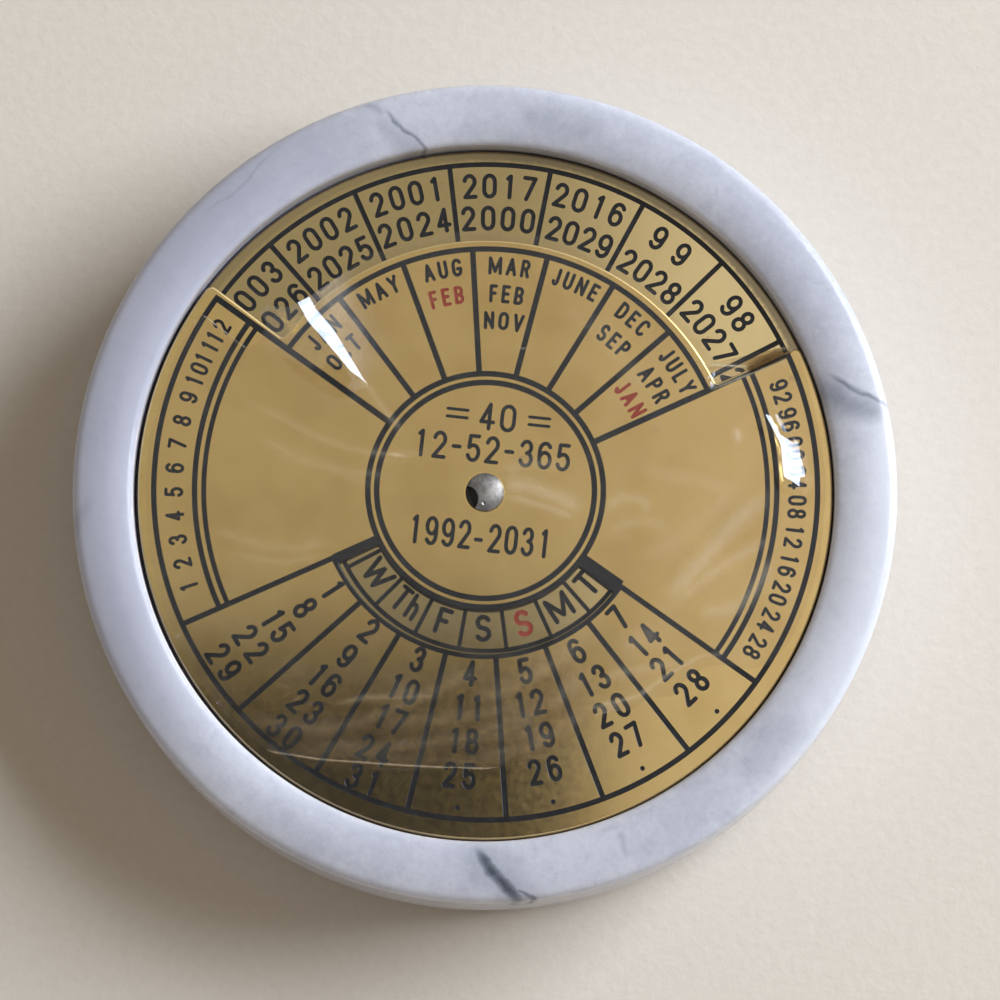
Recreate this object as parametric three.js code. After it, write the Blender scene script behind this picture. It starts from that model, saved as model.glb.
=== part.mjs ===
// A desk perpetual calendar. A round marble body holds two brass discs on one rivet:
// the lower disc is stuck down in a recess, and the plate above it turns on the rivet.
//
// Lengths are in millimetres. +Z points up, the origin is the middle of the felt's underside,
// and +Y points to the top of the dial, where the plate is cut away over the years.

import * as THREE from 'three';

// Driving dimensions: the sizes that a designer would choose first.

const plateRadius = 38;
const plateThickness = 0.75;
const discThickness = 0.75;
const rivetRadius = 1.25;
const rimWidth = 6.5;
const bodyHeight = 17;
const faceDrop = 2.75;

// Marble body: one turned piece, with a rounded rim and a flat-bottomed recess for the dial.
// The rim's crest lies at this share of its width, and its inner curve starts just over the plate.

const recessClearance = 0.5;
const crestShare = 0.5;
const rimOuterDrop = 2.75;
const innerWallRise = 0.25;
const footInset = 2.5;
const footRise = 4;

// Felt pad under the body.

const feltThickness = 1;
const feltInset = 1.5;

// Lower disc, a little smaller than the plate, and the adhesive ring that holds it down.

const discInset = 0.5;
const adhesiveThickness = 0.5;
const adhesiveEdgeInset = 2;
const adhesivePocketInset = 1.5;

// Rivet: a domed head on the plate and a clinched tail under the lower disc.

const headOverhang = 0.875;
const headEdge = 0.25;
const headDome = 0.875;
const tailOverhang = 0.75;
const tailThickness = 0.625;
const runningClearance = 0.1;

// Washers: one keeps the plate off the lower disc, the other backs the rivet's tail.
// A pocket in the recess floor clears the tail and its washer.

const spacerThickness = 0.25;
const spacerWidth = 2.75;
const tailWasherThickness = 0.5;
const tailWasherOverhang = 1.25;
const pocketClearance = 1.25;
const pocketHeadroom = 1.375;

// Windows in the turning plate. The year window is open at the plate's edge.
// Angles are half the angle of each window.

const yearWindowDepth = 10;
const yearWindowHalfAngle = 58.7;
const yearWindowCorner = 0.6;
const dayWindowRadius = 13;
const dayWindowDepth = 4.75;
const dayWindowHalfAngle = 57.75;
const dayWindowCorner = 0.4;

// Protective film, stuck on the plate and torn along its lower edge.
// Each point is an angle from the top of the dial, clockwise, and a share of the plate's radius.

const filmThickness = 0.125;
const filmHoleClearance = 0.25;
const filmOutlineShares = [
  [-58.2, 0.80], [-57.4, 0.835], [-55.2, 0.83], [-53.4, 0.79], [-50, 0.765], [-40, 0.758],
  [-30, 0.766], [-20, 0.757], [-10, 0.764], [0, 0.758], [10, 0.766], [20, 0.758],
  [30, 0.765], [40, 0.758], [50, 0.764], [54.7, 0.776], [56.8, 0.82], [57.4, 0.86],
  [57.1, 0.91], [57.6, 0.96], [58.4, 0.985], [61, 0.988], [67, 0.982], [74, 0.978],
  [82, 0.981], [90, 0.977], [98, 0.98], [106, 0.976], [112, 0.968], [117, 0.93],
  [119.5, 0.86], [122, 0.815], [127, 0.79], [131, 0.80], [135, 0.76], [140, 0.755],
  [144, 0.73], [148, 0.725], [152, 0.745], [157, 0.765], [163, 0.785], [169, 0.79],
  [175, 0.80], [181, 0.80], [187, 0.825], [193, 0.85], [199, 0.885], [205, 0.925],
  [210, 0.955], [216, 0.974], [224, 0.98], [232, 0.976], [240, 0.981], [248, 0.977],
  [256, 0.98], [264, 0.976], [272, 0.98], [280, 0.977], [288, 0.98], [294, 0.978],
  [296.2, 0.97], [296, 0.90], [295.4, 0.82], [296.5, 0.79],
];

// Radii that follow from the sizes above, from the middle outwards.

const holeRadius = rivetRadius + runningClearance;
const headRadius = rivetRadius + headOverhang;
const tailRadius = rivetRadius + tailOverhang;
const tailWasherRadius = tailRadius + tailWasherOverhang;
const spacerRadius = rivetRadius + spacerWidth;
const pocketRadius = tailWasherRadius + pocketClearance;
const discRadius = plateRadius - discInset;
const recessRadius = plateRadius + recessClearance;
const bodyRadius = recessRadius + rimWidth;
const footRadius = bodyRadius - footInset;

// Heights of the faces that meet, from the rim's crest downwards and then from the felt upwards.

const bodyBottom = feltThickness;
const bodyTop = bodyBottom + bodyHeight;
const plateTop = bodyTop - faceDrop;
const plateBottom = plateTop - plateThickness;
const discTop = plateBottom - spacerThickness;
const discBottom = discTop - discThickness;
const recessFloor = discBottom - adhesiveThickness;
const tailTop = discBottom - tailWasherThickness;
const tailBottom = tailTop - tailThickness;

// Arcs are drawn in chords: a large circle, a small circle, a rim curve and a rounded corner.

const largeTurnChords = 96;
const smallTurnChords = 32;
const rimChords = 6;
const cornerChords = 4;

const degree = Math.PI / 180;
const fullTurn = 360;
const halfTurn = fullTurn / 2;

// A point of the dial: its angle is measured clockwise from the top.
function dialPoint(angle, radius) {
  return new THREE.Vector2(radius * Math.sin(angle * degree), radius * Math.cos(angle * degree));
}

// Points along an arc about the rivet, both ends included.
function dialArc(radius, fromAngle, toAngle) {
  const chords = Math.round(largeTurnChords * Math.abs(toAngle - fromAngle) / fullTurn);
  const points = [];
  for (let chord = 0; chord <= chords; chord += 1) {
    points.push(dialPoint(fromAngle + (toAngle - fromAngle) * chord / chords, radius));
  }
  return points;
}

// Points round a small circle about the rivet, each once.
function rivetCircle(radius) {
  const points = [];
  for (let chord = 0; chord < smallTurnChords; chord += 1) {
    points.push(dialPoint(fullTurn * chord / smallTurnChords, radius));
  }
  return points;
}

// The arc of the given radius that takes the place of the corner between two straight runs.
function cornerArc(before, corner, after, radius) {
  const toBefore = before.clone().sub(corner).normalize();
  const toAfter = after.clone().sub(corner).normalize();
  const halfAngle = Math.acos(toBefore.dot(toAfter)) / 2;
  const middle = toBefore.clone().add(toAfter).normalize();
  const centre = corner.clone().addScaledVector(middle, radius / Math.sin(halfAngle));
  const start = corner.clone().addScaledVector(toBefore, radius / Math.tan(halfAngle));
  const sweep = Math.sign(toAfter.cross(toBefore)) * (Math.PI - 2 * halfAngle);
  const points = [];
  for (let chord = 0; chord <= cornerChords; chord += 1) {
    points.push(start.clone().rotateAround(centre, sweep * chord / cornerChords));
  }
  return points;
}

// A closed outline of two arcs, with straight sides between them and its four corners rounded.
function roundedOutline(firstArc, secondArc, cornerRadius) {
  const outline = [...firstArc, ...secondArc];
  const corners = new Set([0, firstArc.length - 1, firstArc.length, outline.length - 1]);
  return outline.flatMap((point, index) => {
    if (!corners.has(index)) {
      return [point];
    }
    const before = outline[(index + outline.length - 1) % outline.length];
    const after = outline[(index + 1) % outline.length];
    return cornerArc(before, point, after, cornerRadius);
  });
}

// A quarter of an ellipse between two profile points, start left out.
// The centre and both points are pairs of radius and height.
function quarterArc(centre, start, end) {
  const points = [];
  for (let chord = 1; chord < rimChords; chord += 1) {
    const angle = (Math.PI / 2) * chord / rimChords;
    points.push([0, 1].map((axis) => centre[axis]
      + (start[axis] - centre[axis]) * Math.cos(angle)
      + (end[axis] - centre[axis]) * Math.sin(angle)));
  }
  return [...points, end];
}

// Turns a profile of radius and height pairs about the +Z axis.
// A profile that starts off the axis is a ring's, and is closed by its first point.
function turned(profile, chords) {
  const isRing = profile[0][0] > 0;
  const closed = isRing ? [...profile, profile[0]] : profile;
  const points = closed.map(([radius, height]) => new THREE.Vector2(radius, height));
  return new THREE.LatheGeometry(points, chords).rotateX(Math.PI / 2);
}

// A flat ring, or a plain disc where the inner radius is 0.
function flatRing(innerRadius, outerRadius, bottom, top, chords) {
  const profile = [
    [innerRadius, bottom],
    [outerRadius, bottom],
    [outerRadius, top],
    [innerRadius, top],
  ];
  return turned(profile, chords);
}

// A flat sheet cut to an outline, with holes through it. Outline and holes are given clockwise,
// and a hole runs the other way round in the shape. Both faces lie exactly at their heights.
function cutSheet(outline, holes, bottom, top) {
  const shape = new THREE.Shape(outline);
  shape.holes = holes.map((hole) => new THREE.Path([...hole].reverse()));
  const geometry = new THREE.ExtrudeGeometry(shape, { depth: 1, bevelEnabled: false });
  const position = geometry.attributes.position;
  for (let index = 0; index < position.count; index += 1) {
    position.setZ(index, position.getZ(index) > 0 ? top : bottom);
  }
  return geometry;
}

function marbleBody() {
  const crestRadius = recessRadius + rimWidth * crestShare;
  const sideBottom = bodyBottom + footRise;
  const sideTop = bodyTop - rimOuterDrop;
  const wallTop = plateTop + innerWallRise;
  const pocketFloor = tailBottom - pocketHeadroom;
  const profile = [
    [0, bodyBottom],
    [footRadius, bodyBottom],
    ...quarterArc([footRadius, sideBottom], [footRadius, bodyBottom], [bodyRadius, sideBottom]),
    [bodyRadius, sideTop],
    ...quarterArc([crestRadius, sideTop], [bodyRadius, sideTop], [crestRadius, bodyTop]),
    ...quarterArc([crestRadius, wallTop], [crestRadius, bodyTop], [recessRadius, wallTop]),
    [recessRadius, recessFloor],
    [pocketRadius, recessFloor],
    [pocketRadius, pocketFloor],
    [0, pocketFloor],
  ];
  return turned(profile, largeTurnChords);
}

function feltPad() {
  return flatRing(0, footRadius - feltInset, 0, feltThickness, largeTurnChords);
}

function adhesiveRing() {
  const innerRadius = pocketRadius + adhesivePocketInset;
  const outerRadius = discRadius - adhesiveEdgeInset;
  return flatRing(innerRadius, outerRadius, recessFloor, discBottom, largeTurnChords);
}

function yearDisc() {
  return flatRing(holeRadius, discRadius, discBottom, discTop, largeTurnChords);
}

function spacerWasher() {
  return flatRing(holeRadius, spacerRadius, discTop, plateBottom, smallTurnChords);
}

function tailWasher() {
  return flatRing(holeRadius, tailWasherRadius, tailTop, discBottom, smallTurnChords);
}

function pivotRivet() {
  const domeBottom = plateTop + headEdge;
  const domeTop = domeBottom + headDome;
  const profile = [
    [0, tailBottom],
    [tailRadius, tailBottom],
    [tailRadius, tailTop],
    [rivetRadius, tailTop],
    [rivetRadius, plateTop],
    [headRadius, plateTop],
    [headRadius, domeBottom],
    ...quarterArc([0, domeBottom], [headRadius, domeBottom], [0, domeTop]),
  ];
  return turned(profile, smallTurnChords);
}

function monthPlate() {
  const outline = roundedOutline(
    dialArc(plateRadius, yearWindowHalfAngle, fullTurn - yearWindowHalfAngle),
    dialArc(plateRadius - yearWindowDepth, -yearWindowHalfAngle, yearWindowHalfAngle),
    yearWindowCorner,
  );
  const dayWindowStart = halfTurn - dayWindowHalfAngle;
  const dayWindowEnd = halfTurn + dayWindowHalfAngle;
  const dayWindow = roundedOutline(
    dialArc(dayWindowRadius, dayWindowEnd, dayWindowStart),
    dialArc(dayWindowRadius + dayWindowDepth, dayWindowStart, dayWindowEnd),
    dayWindowCorner,
  );
  return cutSheet(outline, [dayWindow, rivetCircle(holeRadius)], plateBottom, plateTop);
}

function protectiveFilm() {
  const outline = filmOutlineShares.map(([angle, share]) => dialPoint(angle, plateRadius * share));
  const headHole = rivetCircle(headRadius + filmHoleClearance);
  return cutSheet(outline, [headHole], plateTop, plateTop + filmThickness);
}

function finish(color, roughness, metalness, opacity = 1) {
  const transparent = opacity < 1;
  return new THREE.MeshStandardMaterial({ color, roughness, metalness, opacity, transparent });
}

const pieces = [
  ['marble_body', marbleBody(), finish('#d3d6df', 0.25, 0)],
  ['felt_pad', feltPad(), finish('#2f4a38', 0.95, 0)],
  ['adhesive_ring', adhesiveRing(), finish('#d8d2c0', 0.8, 0)],
  ['year_disc', yearDisc(), finish('#c9a95f', 0.3, 1)],
  ['spacer_washer', spacerWasher(), finish('#b9bcc0', 0.35, 1)],
  ['tail_washer', tailWasher(), finish('#a9acb0', 0.4, 1)],
  ['pivot_rivet', pivotRivet(), finish('#8f8b88', 0.3, 1)],
  ['month_plate', monthPlate(), finish('#c7a75e', 0.28, 1)],
  ['protective_film', protectiveFilm(), finish('#efe9dc', 0.15, 0, 0.25)],
];

const calendar = new THREE.Group();
for (const [name, geometry, material] of pieces) {
  const mesh = new THREE.Mesh(geometry, material);
  mesh.name = name;
  calendar.add(mesh);
}

export default calendar;
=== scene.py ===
"""A desk perpetual calendar: an etched brass month plate turns on a rivet over a fixed year disc.

Both discs lie in the recess of a turned marble body. Lengths are in millimetres until a mesh is made,
and a mesh is in metres, in the frame of the solids. A dial angle is measured clockwise from the top.
"""

import logging
import math
import random
from collections.abc import Callable, Iterable, Sequence
from dataclasses import dataclass, field, replace
from enum import Enum
from itertools import starmap
from typing import Any

import bpy
from mathutils import Matrix, Vector, noise
from mathutils.geometry import delaunay_2d_cdt


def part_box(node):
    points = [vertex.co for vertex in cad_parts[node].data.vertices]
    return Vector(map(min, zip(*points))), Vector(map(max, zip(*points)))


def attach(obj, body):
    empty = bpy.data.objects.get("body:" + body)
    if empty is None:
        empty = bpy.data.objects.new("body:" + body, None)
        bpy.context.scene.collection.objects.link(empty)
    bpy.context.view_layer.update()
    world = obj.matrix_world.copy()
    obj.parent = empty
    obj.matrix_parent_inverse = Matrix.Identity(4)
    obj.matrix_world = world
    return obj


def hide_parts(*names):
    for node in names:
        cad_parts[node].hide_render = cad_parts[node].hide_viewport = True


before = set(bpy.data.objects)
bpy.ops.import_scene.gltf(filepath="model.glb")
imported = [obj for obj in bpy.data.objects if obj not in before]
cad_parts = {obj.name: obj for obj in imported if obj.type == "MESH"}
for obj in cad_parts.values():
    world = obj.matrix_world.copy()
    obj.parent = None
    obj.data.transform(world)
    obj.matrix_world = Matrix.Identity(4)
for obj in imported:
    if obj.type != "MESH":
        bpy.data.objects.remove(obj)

LOG = logging.getLogger("calendar")

MM = 0.001
FULL_TURN = 360.0
HALF_TURN = 180.0
ARC_STEP = 1.25
CELLS = 21
CELL = FULL_TURN / CELLS
PLATE_RADIUS = 38.0
INSIDE_ONLY = 1

Point = tuple[float, float]
Point3 = tuple[float, float, float]
Colour = tuple[float, float, float]
Material = bpy.types.Material
Thing = bpy.types.Object
Socket = bpy.types.NodeSocket


# Sizes that are read from the solids.


@dataclass(frozen=True)
class Span:
    """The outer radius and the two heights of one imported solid, in millimetres."""

    radius: float
    bottom: float
    top: float

    @classmethod
    def of(cls, node: str) -> "Span":
        """Reads the span of a solid.

        Args:
            node: The solid's name.

        Returns:
            Its radius and heights.
        """
        low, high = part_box(node)
        radius = max(abs(low.x), abs(low.y), high.x, high.y)
        return cls(round(radius / MM, 2), round(low.z / MM, 4), round(high.z / MM, 4))


# Points and outlines on the dial.


def points_of(text: str) -> tuple[tuple[float, ...], ...]:
    """Reads points, or other rows of numbers, that are written with commas inside and spaces between."""
    return tuple(tuple(map(float, part.split(","))) for part in text.split())


def dial_point(angle: float, radius: float) -> Point:
    """Gives the point at a dial angle and a distance from the rivet."""
    turn = math.radians(angle)
    return radius * math.sin(turn), radius * math.cos(turn)


def dial_arc(radius: float, start: float, end: float, step: float = ARC_STEP) -> list[Point]:
    """Gives the points of an arc about the rivet between two dial angles, both ends included."""
    count = max(1, round(abs(end - start) / step))
    return [dial_point(start + (end - start) * i / count, radius) for i in range(count + 1)]


def nudged(angle: float, radius: float, nudge: Point) -> tuple[float, float]:
    """Moves a dial angle and radius by millimetres outwards and clockwise."""
    return angle + math.degrees(nudge[1] / radius), radius + nudge[0]


def circle(radius: float, step: float = ARC_STEP) -> list[Point]:
    """Gives the points of a full circle about the rivet, each once."""
    return dial_arc(radius, 0.0, FULL_TURN, step)[:-1]


def in_order(items: Sequence[Any], polygon: Sequence[Point]) -> list[Any]:
    """Gives what belongs to each point of a polygon in counter-clockwise order."""
    return list(items) if signed_area(polygon) > 0 else list(reversed(items))


def numbered(polygons: Iterable[Sequence[Point]]) -> tuple[list[Vector], list[list[int]]]:
    """Puts the points of polygons in one list.

    Args:
        polygons: Closed outlines.

    Returns:
        The points, and each polygon as their numbers, counter-clockwise.
    """
    points: list[Vector] = []
    loops: list[list[int]] = []
    for polygon in polygons:
        loops.append(list(range(len(points), len(points) + len(polygon))))
        points += [Vector(p) for p in in_order(polygon, polygon)]
    return points, loops


def signed_area(polygon: Sequence[Point]) -> float:
    """Gives the area of a polygon, above zero where it runs counter-clockwise."""
    return sum(x0 * y1 - x1 * y0 for (x0, y0), (x1, y1) in zip(polygon, [*polygon[1:], polygon[0]])) / 2


def rounded(polygon: Sequence[Point], corners: Iterable[int], radius: float) -> list[Point]:
    """Rounds some corners of a closed outline.

    Args:
        polygon: The outline.
        corners: Indices of the corners to round.
        radius: Radius of the new corners.

    Returns:
        The outline with arcs in place of those corners.
    """
    steps = 6
    result: list[Point] = []
    for index, corner in enumerate(polygon):
        if index not in corners:
            result.append(corner)
            continue
        here = Vector(corner)
        to_before = (Vector(polygon[index - 1]) - here).normalized()
        to_after = (Vector(polygon[(index + 1) % len(polygon)]) - here).normalized()
        half = to_before.angle(to_after) / 2
        middle = here + (to_before + to_after).normalized() * (radius / math.sin(half))
        first = here + to_before * (radius / math.tan(half)) - middle
        last = here + to_after * (radius / math.tan(half)) - middle
        sweep = math.atan2(first.x * last.y - first.y * last.x, first.dot(last))
        result += [tuple(middle + Matrix.Rotation(sweep * i / steps, 2) @ first) for i in range(steps + 1)]
    return result


def joined(first: list[Point], second: list[Point], radius: float) -> list[Point]:
    """Joins two arcs into a closed outline whose four corners are rounded."""
    ends = (0, len(first) - 1, len(first), len(first) + len(second) - 1)
    return rounded([*first, *second], ends, radius)


def ribbon(points: Sequence[Point], width: float, round_ends: bool = True) -> list[Point]:
    """Gives the outline of a line of some width.

    Args:
        points: The line's points.
        width: The line's width.
        round_ends: True for round ends, False for square ones.

    Returns:
        A closed outline that runs counter-clockwise.
    """
    tight = 0.85
    line = [Vector(points[0])]
    for point in points[1:]:
        if (Vector(point) - line[-1]).length > 1e-4:
            line.append(Vector(point))
    heads = [(b - a).normalized() for a, b in zip(line, line[1:])]
    left: list[Vector] = []
    right: list[Vector] = []
    for i, here in enumerate(line):
        before, after = heads[max(i - 1, 0)], heads[min(i, len(heads) - 1)]
        along = (before + after).normalized()
        side = Vector((-along.y, along.x))
        reach_left = reach_right = width / 2 / max(along.dot(after), 0.5)
        bent = before.x * after.y - before.y * after.x
        if abs(bent) > 1e-4 and 0 < i < len(line) - 1:
            run = ((line[i] - line[i - 1]).length + (line[i + 1] - line[i]).length) / 2
            limit = tight * run / abs(bent)
            if bent > 0:
                reach_left = min(reach_left, limit)
            else:
                reach_right = min(reach_right, limit)
        left.append(here + side * reach_left)
        right.append(here - side * reach_right)
    ends = (cap(line[-1], right[-1]), cap(line[0], left[0])) if round_ends else ([], [])
    return [tuple(p) for p in (*right, *ends[0], *reversed(left), *ends[1])]


def cap(centre: Vector, start: Vector, steps: int = 6) -> list[Vector]:
    """Gives the inner points of a half circle, counter-clockwise from a start point."""
    spoke = start - centre
    return [centre + Matrix.Rotation(math.pi * i / steps, 2) @ spoke for i in range(1, steps)]


# The lettering: single-line figures, drawn in a unit box. A stroke is a chain of points and bows. A bow
# is part of an ellipse: its middle, its two radii, and the angles where it starts and ends, in degrees.


Stroke = tuple[tuple[float, ...], ...]


@dataclass(frozen=True)
class Figure:
    """One letter or digit: its width against a digit's, and its strokes."""

    width: float
    strokes: tuple[Stroke, ...]


FIGURE_TABLE = """
0 1 | .5,.71,.5,.29,90,180 .5,.29,.5,.29,180,270 | .5,.29,.5,.29,270,360 .5,.71,.5,.29,0,90
1 1 | .58,0 .58,1 | .58,1 .33,.88
2 1 | .5,.72,.48,.28,168,-32 .02,0 | .02,0 1,0
3 1 | .47,.755,.43,.245,165,-80 | .49,.27,.49,.27,82,-165
4 1 | .66,0 .66,1 | .66,1 0,.27 | 0,.27 1,.27
5 1 | .9,1 .14,1 | .14,1 .08,.52 | .08,.52 .48,.31,.5,.31,122,-158
6 1 | .5,.31,.5,.31,0,180 | .5,.31,.5,.31,180,360 | 0,.31 .5,.7,.5,.3,180,32
7 1 | 0,1 1,1 | 1,1 .36,0
8 1 | .5,.76,.43,.24,-90,90 | .5,.76,.43,.24,90,270 | .5,.26,.5,.26,-90,90 | .5,.26,.5,.26,90,270
9 1 | .5,.69,.5,.31,0,180 | .5,.69,.5,.31,180,360 | 1,.69 .5,.3,.5,.3,0,-148
- .8 | .1,.5 .9,.5
A 1.15 | 0,0 .5,1 | .5,1 1,0 | .17,.33 .83,.33
B 1 | 0,0 0,1 | 0,1 .5,1 .5,.75,.46,.25,90,-90 0,.5 | 0,.5 .5,.5 .5,.25,.5,.25,90,-90 0,0
C 1.05 | .5,.7,.5,.3,28,180 .5,.3,.5,.3,180,332
D 1.05 | 0,0 0,1 | 0,1 .42,1 .42,.66,.58,.34,90,0 .42,.34,.58,.34,0,-90 0,0
E .92 | 0,0 0,1 | 0,1 1,1 | 0,.52 .85,.52 | 0,0 1,0
F .88 | 0,0 0,1 | 0,1 1,1 | 0,.52 .8,.52
G 1.1 | .5,.7,.5,.3,28,180 .5,.3,.5,.3,180,360 1,.42 | 1,.42 .58,.42
J .8 | 1,1 1,.28 .5,.28,.5,.28,0,-160
L .85 | 0,0 0,1 | 0,0 1,0
M 1.45 | 0,0 0,1 | 0,1 .5,.12 | .5,.12 1,1 | 1,1 1,0
N 1.1 | 0,0 0,1 | 0,1 1,0 | 1,0 1,1
O 1.12 | .5,.71,.5,.29,90,180 .5,.29,.5,.29,180,270 | .5,.29,.5,.29,270,360 .5,.71,.5,.29,0,90
P 1 | 0,0 0,1 | 0,1 .5,1 .5,.75,.46,.25,90,-90 0,.5
R 1 | 0,0 0,1 | 0,1 .5,1 .5,.75,.46,.25,90,-90 0,.5 | .55,.5 1,0
S 1 | .5,.75,.46,.25,30,270 .5,.25,.5,.25,90,-150
T 1.05 | 0,1 1,1 | .5,1 .5,0
U 1.05 | 0,1 0,.3 .5,.3,.5,.3,180,360 1,1
V 1.15 | 0,1 .5,0 | .5,0 1,1
W 1.7 | 0,1 .26,0 | .26,0 .5,.85 | .5,.85 .74,0 | .74,0 1,1
Y 1.1 | 0,1 .5,.45 | 1,1 .5,.45 | .5,.45 .5,0
h .85 | 0,0 0,1 | 0,.36 .5,.36,.5,.27,180,0 1,0
"""


def drawn(row: str) -> Figure:
    """Reads a figure from its row: its width and its strokes, each a chain of points and bows."""
    width, *strokes = row.split(" | ")
    return Figure(float(width), tuple(map(points_of, strokes)))


FIGURES = {row[0]: drawn(row[2:]) for row in FIGURE_TABLE.split("\n") if row}


def traced(stroke: Stroke, width: float, height: float) -> list[Point]:
    """Turns a stroke into points.

    Args:
        stroke: Points and bows in the unit box.
        width: Width of the box.
        height: Height of the box.

    Returns:
        The stroke's points about the middle of the box.
    """
    bow_step = 20.0
    points: list[Point] = []
    for part in stroke:
        if len(part) == 2:
            points.append(part)
            continue
        x, y, rx, ry, start, end = part
        count = max(2, round(abs(end - start) / bow_step))
        for i in range(count + 1):
            turn = math.radians(start + (end - start) * i / count)
            points.append((x + rx * math.cos(turn), y + ry * math.sin(turn)))
    return [((x - 0.5) * width, (y - 0.5) * height) for x, y in points]


@dataclass(frozen=True)
class Type:
    """A size of lettering: overall height and width of a digit, line width, and gap between figures."""

    height: float
    width: float
    line: float
    gap: float


class Tops(Enum):
    """Which way the tops of figures on an arc point."""

    OUTWARD = 1
    INWARD = -1


class Enamel(Enum):
    """The paints that fill the etching."""

    BLACK = 1
    RED = 2


@dataclass
class Etching:
    """The outlines that are etched into one sheet and filled, where the print may sit a little off.

    It may be shifted and turned as a whole, and drawn upwards by its bow, times the radius squared.
    """

    shift: Point = (0.0, 0.0)
    turn: float = 0.0
    bow: float = 0.0
    fills: list[tuple[Enamel, list[Point]]] = field(default_factory=list)

    def fill(self, outline: Sequence[Point], enamel: Enamel = Enamel.BLACK) -> None:
        """Adds one filled outline.

        Args:
            outline: A closed outline on the dial.
            enamel: Its paint.
        """
        sine, cosine = dial_point(self.turn, 1.0)
        right, up = self.shift
        placed = [
            (x * cosine - y * sine + right, x * sine + y * cosine + up + self.bow * (x * x + y * y))
            for x, y in outline
        ]
        self.fills.append((enamel, in_order(placed, placed)))

    def arc(self, radius: float, start: float, end: float, width: float) -> None:
        """Adds an arc line, with square ends."""
        self.fill(ribbon(dial_arc(radius, start, end), width, round_ends=False))

    def ring(self, radius: float, width: float) -> None:
        """Adds a full circle as two arcs that overlap a little.

        Args:
            radius: The circle's radius.
            width: Width of its line.
        """
        overlap = 0.5
        self.arc(radius, -overlap, HALF_TURN + overlap, width)
        self.arc(radius, HALF_TURN - overlap, FULL_TURN + overlap, width)

    def spoke(self, angle: float, inner: float, outer: float, width: float) -> None:
        """Adds a straight line along a radius."""
        ends = [dial_point(angle, inner), dial_point(angle, outer)]
        self.fill(ribbon(ends, width, round_ends=False))

    def fillet(self, angle: float, radius: float, side: int, inside: int, size: float = 0.62) -> None:
        """Rounds the corner between a spoke and an arc.

        Args:
            angle: Dial angle of the spoke.
            radius: Radius of the arc.
            side: 1 where the corner is clockwise of the spoke, -1 where it is counter-clockwise.
            inside: 1 where the corner is outside the arc, -1 where it is inside.
            size: Length of the corner's sides, from the middles of the two lines.
        """
        corner = Vector(dial_point(angle, radius))
        start = corner + Vector(dial_point(angle + 90.0, size)) * side
        end = corner + Vector(dial_point(angle, size)) * inside
        self.fill([tuple(corner), tuple(start), *quarter(start + end - corner, start, end, 4)])

    def dot(self, angle: float, radius: float, size: float) -> None:
        """Adds a round dot."""
        x, y = dial_point(angle, radius)
        self.fill([(x + dx, y + dy) for dx, dy in circle(size / 2, 30.0)])

    def figure(self, name: str, kind: Type, middle: Vector, up: Vector, enamel: Enamel) -> None:
        """Adds one letter or digit.

        Args:
            name: The letter or digit.
            kind: Its size.
            middle: Its middle on the dial.
            up: Which way its top points, one long.
            enamel: Its paint.
        """
        shape = FIGURES[name]
        size = (kind.width * shape.width - kind.line, kind.height - kind.line)
        right = Vector((up.y, -up.x))
        for stroke in shape.strokes:
            outline = ribbon(traced(stroke, *size), kind.line)
            self.fill([tuple(middle + right * x + up * y) for x, y in outline], enamel)

    def word(
        self, text: str, kind: Type, angle: float, radius: float, tops: Tops, enamel: Enamel = Enamel.BLACK
    ) -> None:
        """Adds a word along an arc.

        Args:
            text: The word.
            kind: Size of its letters.
            angle: Dial angle of the word's middle.
            radius: Radius of the letters' middles.
            tops: Which way the tops point.
            enamel: Its paint.
        """
        for name, offset in spread(text, kind):
            centre = angle + tops.value * math.degrees(offset / radius)
            up = Vector(dial_point(centre, 1.0)) * tops.value
            self.figure(name, kind, Vector(dial_point(centre, radius)), up, enamel)

    def row(self, text: str, kind: Type, middle: Point) -> None:
        """Adds a straight, level row of figures.

        Args:
            text: The figures.
            kind: Their size.
            middle: The row's middle on the dial.
        """
        for name, offset in spread(text, kind):
            place = Vector((middle[0] + offset, middle[1]))
            self.figure(name, kind, place, Vector((0.0, 1.0)), Enamel.BLACK)


def spread(text: str, kind: Type) -> list[tuple[str, float]]:
    """Lays out a word's figures side by side.

    Args:
        text: The word.
        kind: Size of its letters.

    Returns:
        Each figure with the distance of its middle from the word's middle.
    """
    widths = [kind.width * FIGURES[name].width for name in text]
    total = sum(widths) + kind.gap * (len(text) - 1)
    placed = []
    reached = -total / 2
    for name, width in zip(text, widths):
        placed.append((name, reached + width / 2))
        reached += width + kind.gap
    return placed


# Meshes.


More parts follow.
